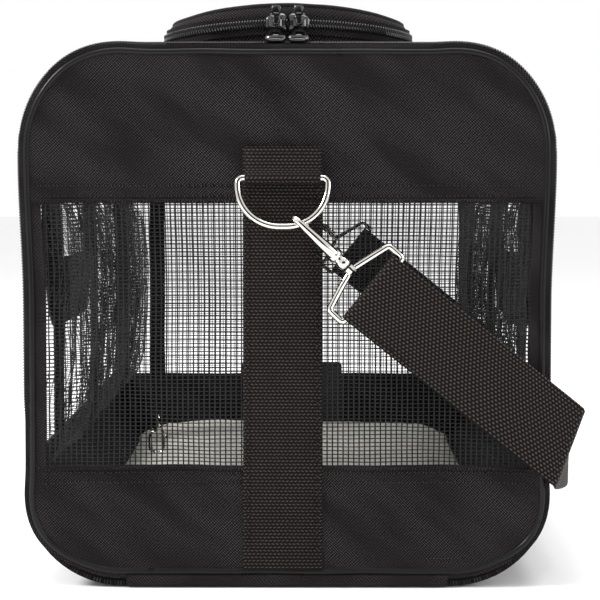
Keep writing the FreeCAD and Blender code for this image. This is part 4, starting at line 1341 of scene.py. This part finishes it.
class CARRIER_OT_shoulder_strap(bpy.types.Operator):
    """Lay the shoulder strap from clip to clip, with its folded ends and its adjuster"""
    bl_idname = "carrier.shoulder_strap"
    bl_label = "Shoulder strap"

    def execute(self, context):
        for prefix, name, sign in (("near", "strap_front", -1), ("far", "strap_back", 1)):
            self.end_run(prefix, name, sign)
        self.side_run()
        self.adjuster()
        return {"FINISHED"}

    def fold_line(self, sign):
        """The middle of the strap's edge where it turns round the bag, and the way along that edge."""
        low, high = corners("strap_front" if sign < 0 else "strap_back")
        lean, half = math.radians(FOLD_LEAN), STRAP_WIDTH / 2
        way = Vector((math.sin(lean), 0, math.cos(lean)))
        middle = Vector((high.x - half * way.x - 2.8, (low.y + high.y) / 2, low.z + half * way.z + 3.2))
        return middle, way

    def end_run(self, prefix, name, sign):
        pivot, along, _, out = clip_axes(prefix)
        bar = pivot + along * FRAME_BAR
        end, way = self.fold_line(sign)
        ahead = (end - bar).normalized()
        side = Vector((-ahead.z, 0, ahead.x))
        piece = Piece(name, "strap_webbing")
        under = ((46, 1.0), (34, 1.0), (22, 1.2), (12, 1.7), (5, 2.3))
        path = [bar + ahead * t - out * s for t, s in under]
        path += arc(bar, ahead, out, 2.55, 262, 98, 14)
        over = ((5, 2.3), (12, 1.9), (22, 1.2), (34, 0.9), (46, 0.8), (58, 0.2))
        path += [bar + ahead * t + out * s for t, s in over]
        total = (end - bar).length
        for t in between(66, total, 10):
            bow = 1.6 * math.sin(math.pi * (t - 58) / (total - 58)) * out
            path.append(bar + ahead * t + bow)
        sides = [side.lerp(way, smooth((point - bar).dot(ahead), total * 0.45, total)) for point in path]
        piece.ribbon(path, sides, STRAP_WIDTH, 1.5, skew=True)
        for reach in (7.5, 10.5, 42.0):
            centre = bar + ahead * reach + out * (2.6 - 0.04 * reach)
            piece.stitches([centre + side * s for s in between(-17, 17, 16)], out, 2.4, 0.32)
        for s in (-16.4, 16.4):
            row = [bar + ahead * r + side * s + out * (2.6 - 0.04 * r) for r in between(11, 42, 12)]
            piece.stitches(row, out, 2.4, 0.32)
        body = "end_door" if sign < 0 else "carrier"
        piece.done(f"{prefix}_strap", name, blend=(body, bar + ahead * (total * 0.62), end))

    def turned(self, sign, x, z):
        """The strap from its fold at a corner of the bag to where it runs level along the side."""
        end, way = self.fold_line(sign)
        prefix = "near" if sign < 0 else "far"
        pivot, along, _, out = clip_axes(prefix)
        ahead = (end - (pivot + along * FRAME_BAR)).normalized()
        slip = ahead.dot(way)
        forwards = (ahead - way * slip).normalized()
        path, radius, bends, reach = [], 3.0, 9, 60
        for t in between(0, math.pi / 2, bends):
            bend = forwards * math.sin(t) + out * (math.cos(t) - 1)
            path.append(end + bend * radius + way * slip * t * radius)
        ways = [way] * len(path)
        last = path[-1]
        for run in between(6, reach, 10):
            t = smooth(run, 0, reach)
            drop = slip * 22 * (1 - math.exp(-run / 22))
            path.append(Vector((last.x + (x - last.x) * t, last.y - sign * run, last.z + way.z * drop)))
            ways.append(way.lerp(Vector((0, 0, 1)), t))
        level = path[-1].z
        for i, point in enumerate(path[bends:]):
            point.z += (z - level) * smooth(i, 0, 9)
        return path, ways

    def side_run(self):
        low, high = corners("strap_adjuster")
        x, z = (low.x + high.x) / 2, (low.z + high.z) / 2
        piece = Piece("strap_side", "strap_webbing")
        near_path, near_ways = self.turned(-1, x, z)
        far_path, far_ways = self.turned(1, x, z)
        middle = [Vector((x + 0.8 * math.sin(y / 50) ** 2, y, z)) for y in between(-180, 180, 40)]
        path = near_path + middle + far_path[::-1]
        ways = near_ways + [Vector((0, 0, 1))] * len(middle) + far_ways[::-1]
        piece.ribbon(path, ways, STRAP_WIDTH, 1.5, skew=True)
        piece.done("end_door", "strap_side", blend=("carrier", (x, SHELL_NEAR + 6, z), (x, -140, z)))

    def adjuster(self):
        low, high = corners("strap_adjuster")
        middle = (low + high) / 2
        piece = Piece("strap_adjuster", "enamel")
        tall, wide = (high.z - low.z) / 2 - 1.8, (high.y - low.y) / 2 - 1.8
        for lift in (-1, 1):
            x = middle.x + lift * 1.9
            loop = []
            for y, z, start in ((wide, tall, 0), (-wide, tall, 90), (-wide, -tall, 180), (wide, -tall, 270)):
                centre = Vector((x, middle.y + y - math.copysign(3, y), middle.z + z - math.copysign(3, z)))
                loop += arc(centre, Vector((0, 1, 0)), Vector((0, 0, 1)), 3, start, start + 90, 6)
            piece.tube(loop, 1.0, closed=True, sides=10)
            bar = [Vector((x, middle.y, middle.z + s)) for s in (-tall, tall)]
            piece.tube(bar, 1.2, sides=10)
        for z in (-tall, tall):
            for y in (-wide + 3, 0, wide - 3):
                rivet = [Vector((middle.x + s, middle.y + y, middle.z + z)) for s in (-1.9, 1.9)]
                piece.tube(rivet, 1.4, sides=10)
        piece.done("strap_adjuster", "strap_adjuster")


class CARRIER_OT_handles(bpy.types.Operator):
    """Sew the side webbing, the two carrying handles and the grip"""
    bl_idname = "carrier.handles"
    bl_label = "Handles"

    def execute(self, context):
        for side, sign in SIDES:
            low, high = corners(f"side_webbing_{side}")
            legs = (low.y + STRAP_WIDTH / 2, high.y - STRAP_WIDTH / 2)
            outer = high.x if sign > 0 else low.x
            webbing_piece = Piece(f"side_webbing_{side}", "webbing")
            for y in legs:
                path = [settle(outer - sign * 0.5, y, z) for z in between(low.z, high.z, 30)]
                webbing_piece.ribbon(path, (0, 1, 0), STRAP_WIDTH, 1.4)
                for edge in (-16.5, 16.5):
                    row = [p + Vector((sign * 0.8, edge, 0)) for p in path[1:-1]]
                    webbing_piece.stitches(row, (sign, 0, 0), radius=0.3)
                for z in (high.z - 4, high.z - 30):
                    row = [Vector((outer + sign * 0.4, y + s, z)) for s in between(-16, 16, 12)]
                    webbing_piece.stitches(row, (sign, 0, 0), radius=0.3)
            webbing_piece.done("carrier", f"side_webbing_{side}")
            self.handle(side, sign, legs)
        self.grip()
        return {"FINISHED"}

    def handle(self, side, sign, legs):
        low, high = corners(f"handle_{side}")
        x, bar, turn = (low.x + high.x) / 2, low.z + STRAP_WIDTH / 2, 26
        outer = corners(f"side_webbing_{side}")[1 if sign > 0 else 0].x
        path, across = [], []
        near, far = legs
        level, up = Vector((0, 1, 0)), Vector((0, 0, 1))
        for z, dx in ((SIDE_TOP - 1, 0.6), (SIDE_TOP - 8, 0.9), (SIDE_TOP - 18, 1.6), (SIDE_TOP - 30, 2.0)):
            path.append(Vector((outer + sign * dx, near, z)))
        path += [Vector((x, near, z)) for z in between(SIDE_TOP - 40, bar + turn, 4)]
        path += arc(Vector((x, near + turn, bar + turn)), level, up, turn, 180, 270, 12)[1:]
        span = far - near - 2 * turn
        path += [Vector((x + sign * 0.6 * math.sin(math.pi * t), near + turn + span * t, bar))
                 for t in between(0, 1, 14)][1:-1]
        path = path + [Vector((p.x, near + far - p.y, p.z)) for p in path[-14::-1]]
        unique = [path[0]]
        for p in path[1:]:
            if (p - unique[-1]).length > 0.5:
                unique.append(p)
        for i, p in enumerate(unique):
            ahead = unique[min(i + 1, len(unique) - 1)] - unique[max(i - 1, 0)]
            across.append(Vector((0, -ahead.z, ahead.y)).normalized())
        piece = Piece(f"handle_{side}", "webbing")
        piece.ribbon(unique, across, STRAP_WIDTH, 1.9)
        start = Vector((outer, 0, SIDE_TOP - 1))
        piece.done("carrier", f"handle_{side}", blend=(f"handle_{side}", start, start - Vector((0, 0, 14))))

    def grip(self):
        low, high = corners("handle_wrap")
        middle = (low + high) / 2
        tall, deep = (high.z - low.z) / 2, (high.x - low.x) / 2
        piece = Piece("handle_wrap", "polyester")
        profile = []
        for k in range(24):
            t = TURN * k / 24
            c, s = math.cos(t), math.sin(t)
            profile.append((tall * math.copysign(abs(c) ** 0.5, c), deep * math.copysign(abs(s) ** 0.7, s)))
        path = [Vector((middle.x, y, middle.z)) for y in between(low.y, high.y, 30)]
        rings = []
        for i in range(30):
            swell = 0.9 + 0.1 * math.sin(math.pi * i / 29) ** 0.5
            rings.append([(x * swell, y * swell) for x, y in profile])
        piece.sweep(path, rings, (0, 0, 1))
        for y in (low.y + 2.2, high.y - 2.2):
            row = [Vector((high.x - 0.3, y, middle.z + s)) for s in between(-tall + 4, tall - 4, 10)]
            piece.stitches(row, (1, 0, 0))
        piece.done("handle_right", "handle_wrap")


# ---------------------------------------------------------------- inside

class CARRIER_OT_inside(bpy.types.Operator):
    """Lay the base board, the fleece bed, the safety tether and the plain patch"""
    bl_idname = "carrier.inside"
    bl_label = "Inside"

    def execute(self, context):
        refinish("base_board", "board")
        self.bed()
        self.tether()
        self.patch()
        return {"FINISHED"}

    def bed(self):
        low, high = corners("bed_pad")
        crown = high.z - 4
        outline = Outline(high.x + 3, low.y - 2, high.y + 3, 14, 14).loop(6.0)
        rings = [(low.z, 12), (low.z + 1, 9), (low.z + 5, 4), (low.z + 10, 1), (crown, 0)]
        rings += [(high.z - 1.5, 0.5)] + [(high.z, inset) for inset in (2, 8, 26, 44, 66, 88, 100)]
        piece = Piece("bed_pad", "fleece")
        points = []
        for level, inset in rings:
            scale_x, scale_y = (high.x - inset) / high.x, (high.y - inset) / high.y
            for x, y in outline:
                px, py = x * scale_x, y * scale_y
                lump = 2.2 * ripple(px / 38, py / 38, 3) + 0.9 * ripple(px / 11, py / 11, 5)
                z = level + (lump * smooth(inset, 0, 20) * 0.8 if level >= crown else 0)
                points.append(Vector((px, py, min(z, high.z + 4))))
        faces = walls(len(outline), len(rings)) + caps(len(outline), len(rings))
        piece.add(points, faces, [(p.x, p.y, 0) for p in points])
        made = piece.done("carrier", "bed_pad", swell=(5, low.z))

    def tether(self):
        low, high = corners("tether")
        middle = (low + high) / 2
        piece = Piece("tether", "webbing")
        path = [Vector((middle.x + 0.5 * ripple(z / 30, 1), middle.y + 0.8 * ripple(z / 40, 4), z))
                for z in between(high.z, low.z - 16, 32)]
        turned = (1, 0.25, 0)
        piece.ribbon(path, turned, 9, 1.3)
        piece.ribbon([p + Vector((0, 1.5, 0)) for p in path[-8:]], turned, 9, 1.3)
        piece.done("tether", "tether")
        low, high = corners("tether_clip")
        middle = (low + high) / 2
        clip = Piece("tether_clip", "nickel")
        lower = 9.0  # it hangs a little lower than its solid
        eye = Outline(4.4, low.z + 1.3 - lower, high.z - 16 - lower, 4.2, 4.2)
        clip.tube([Vector((middle.x + x, middle.y, z)) for x, z in eye.loop(1.2)], 1.3, closed=True, sides=12)
        shank = [Vector((middle.x, middle.y, high.z - lower - z)) for z in (17, 16, 13, 11, 9, 6)]
        clip.tube(shank, [1.8, 2.6, 2.6, 1.8, 2.2, 1.2], sides=16)
        clip.done("tether", "tether_clip")

    def patch(self):
        low, high = corners("far_patch")
        piece = Piece("far_patch", "rubber_patch")
        half, tall = (high.x - low.x) / 2, (high.z - low.z) / 2
        shape = Outline(half, -tall, tall, 3, 3).loop(2.0)
        origin = Vector(((low.x + high.x) / 2, high.y - 0.1, (low.z + high.z) / 2))
        levels = [(0, 1.0), (0.7, 1.0), (1.0, 0.985)]
        piece.moulded(shape, levels, origin, Vector((1, 0, 0)), Vector((0, 0, 1)))
        rim = [origin + Vector((x * 0.94, -1.1, z * 0.93)) for x, z in shape]
        piece.stitches(rim + rim[:1], (0, -1, 0))
        piece.done("carrier", "far_patch")


class CARRIER_OT_door_hinge(bpy.types.Operator):
    """Sew the strip of cloth that the end door folds on"""
    bl_idname = "carrier.door_hinge"
    bl_label = "Door hinge"

    def execute(self, context):
        piece = Piece("door_hinge_cloth", "polyester")
        reach = BASE_HALF - 2
        front, back = NEAR_END + 2.4, SHELL_NEAR + 9

        def place(x, t):
            top = hang(-1, x, 0.0).z + 1.2
            y = front + (back - front) * smooth(t, 0.25, 1) - 0.6 * math.sin(math.pi * min(1, t * 2))
            return (x, y, top + (0.6 - top) * smooth(t, 0, 0.45))

        piece.sheet(place, between(-reach, reach, 60), between(0, 1, 14), 0.9)
        piece.cloth = [(u, v * 16, 0) for u, v, _ in piece.cloth]
        piece.done("carrier", blend=("end_door", (0, SHELL_NEAR + 3, 0), (0, NEAR_END + 2, 0)))
        return {"FINISHED"}


# ---------------------------------------------------------------- the panel and the run

STEPS = ("stage", "shell", "ends", "windows", "zips", "sliders", "hatch", "end_webbing", "hardware",
         "shoulder_strap", "handles", "inside", "door_hinge")


class CARRIER_PT_panel(bpy.types.Panel):
    """The carrier's pieces, in the order that they are made"""
    bl_idname = "CARRIER_PT_panel"
    bl_label = "Pet carrier"
    bl_space_type = "VIEW_3D"
    bl_region_type = "UI"
    bl_category = "Carrier"

    def draw(self, context):
        for group in (context.scene.carrier_sizes, context.scene.carrier_colours):
            for name in group.bl_rna.properties.keys():
                if name not in ("rna_type", "name"):
                    self.layout.prop(group, name)
        for step in STEPS:
            self.layout.operator("carrier." + step)


CLASSES = (CarrierSizes, CarrierColours, CARRIER_OT_stage, CARRIER_OT_shell, CARRIER_OT_ends,
           CARRIER_OT_windows, CARRIER_OT_zips, CARRIER_OT_sliders, CARRIER_OT_hatch, CARRIER_OT_end_webbing,
           CARRIER_OT_hardware, CARRIER_OT_shoulder_strap, CARRIER_OT_handles, CARRIER_OT_inside,
           CARRIER_OT_door_hinge, CARRIER_PT_panel)


def register():
    for item in CLASSES:
        bpy.utils.register_class(item)
    bpy.types.Scene.carrier_sizes = bpy.props.PointerProperty(type=CarrierSizes)
    bpy.types.Scene.carrier_colours = bpy.props.PointerProperty(type=CarrierColours)


def unregister():
    del bpy.types.Scene.carrier_colours
    del bpy.types.Scene.carrier_sizes
    for item in reversed(CLASSES):
        bpy.utils.unregister_class(item)


def main():
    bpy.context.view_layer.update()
    register()
    for step in STEPS:
        getattr(bpy.ops.carrier, step)()


if __name__ == "__main__":
    main()
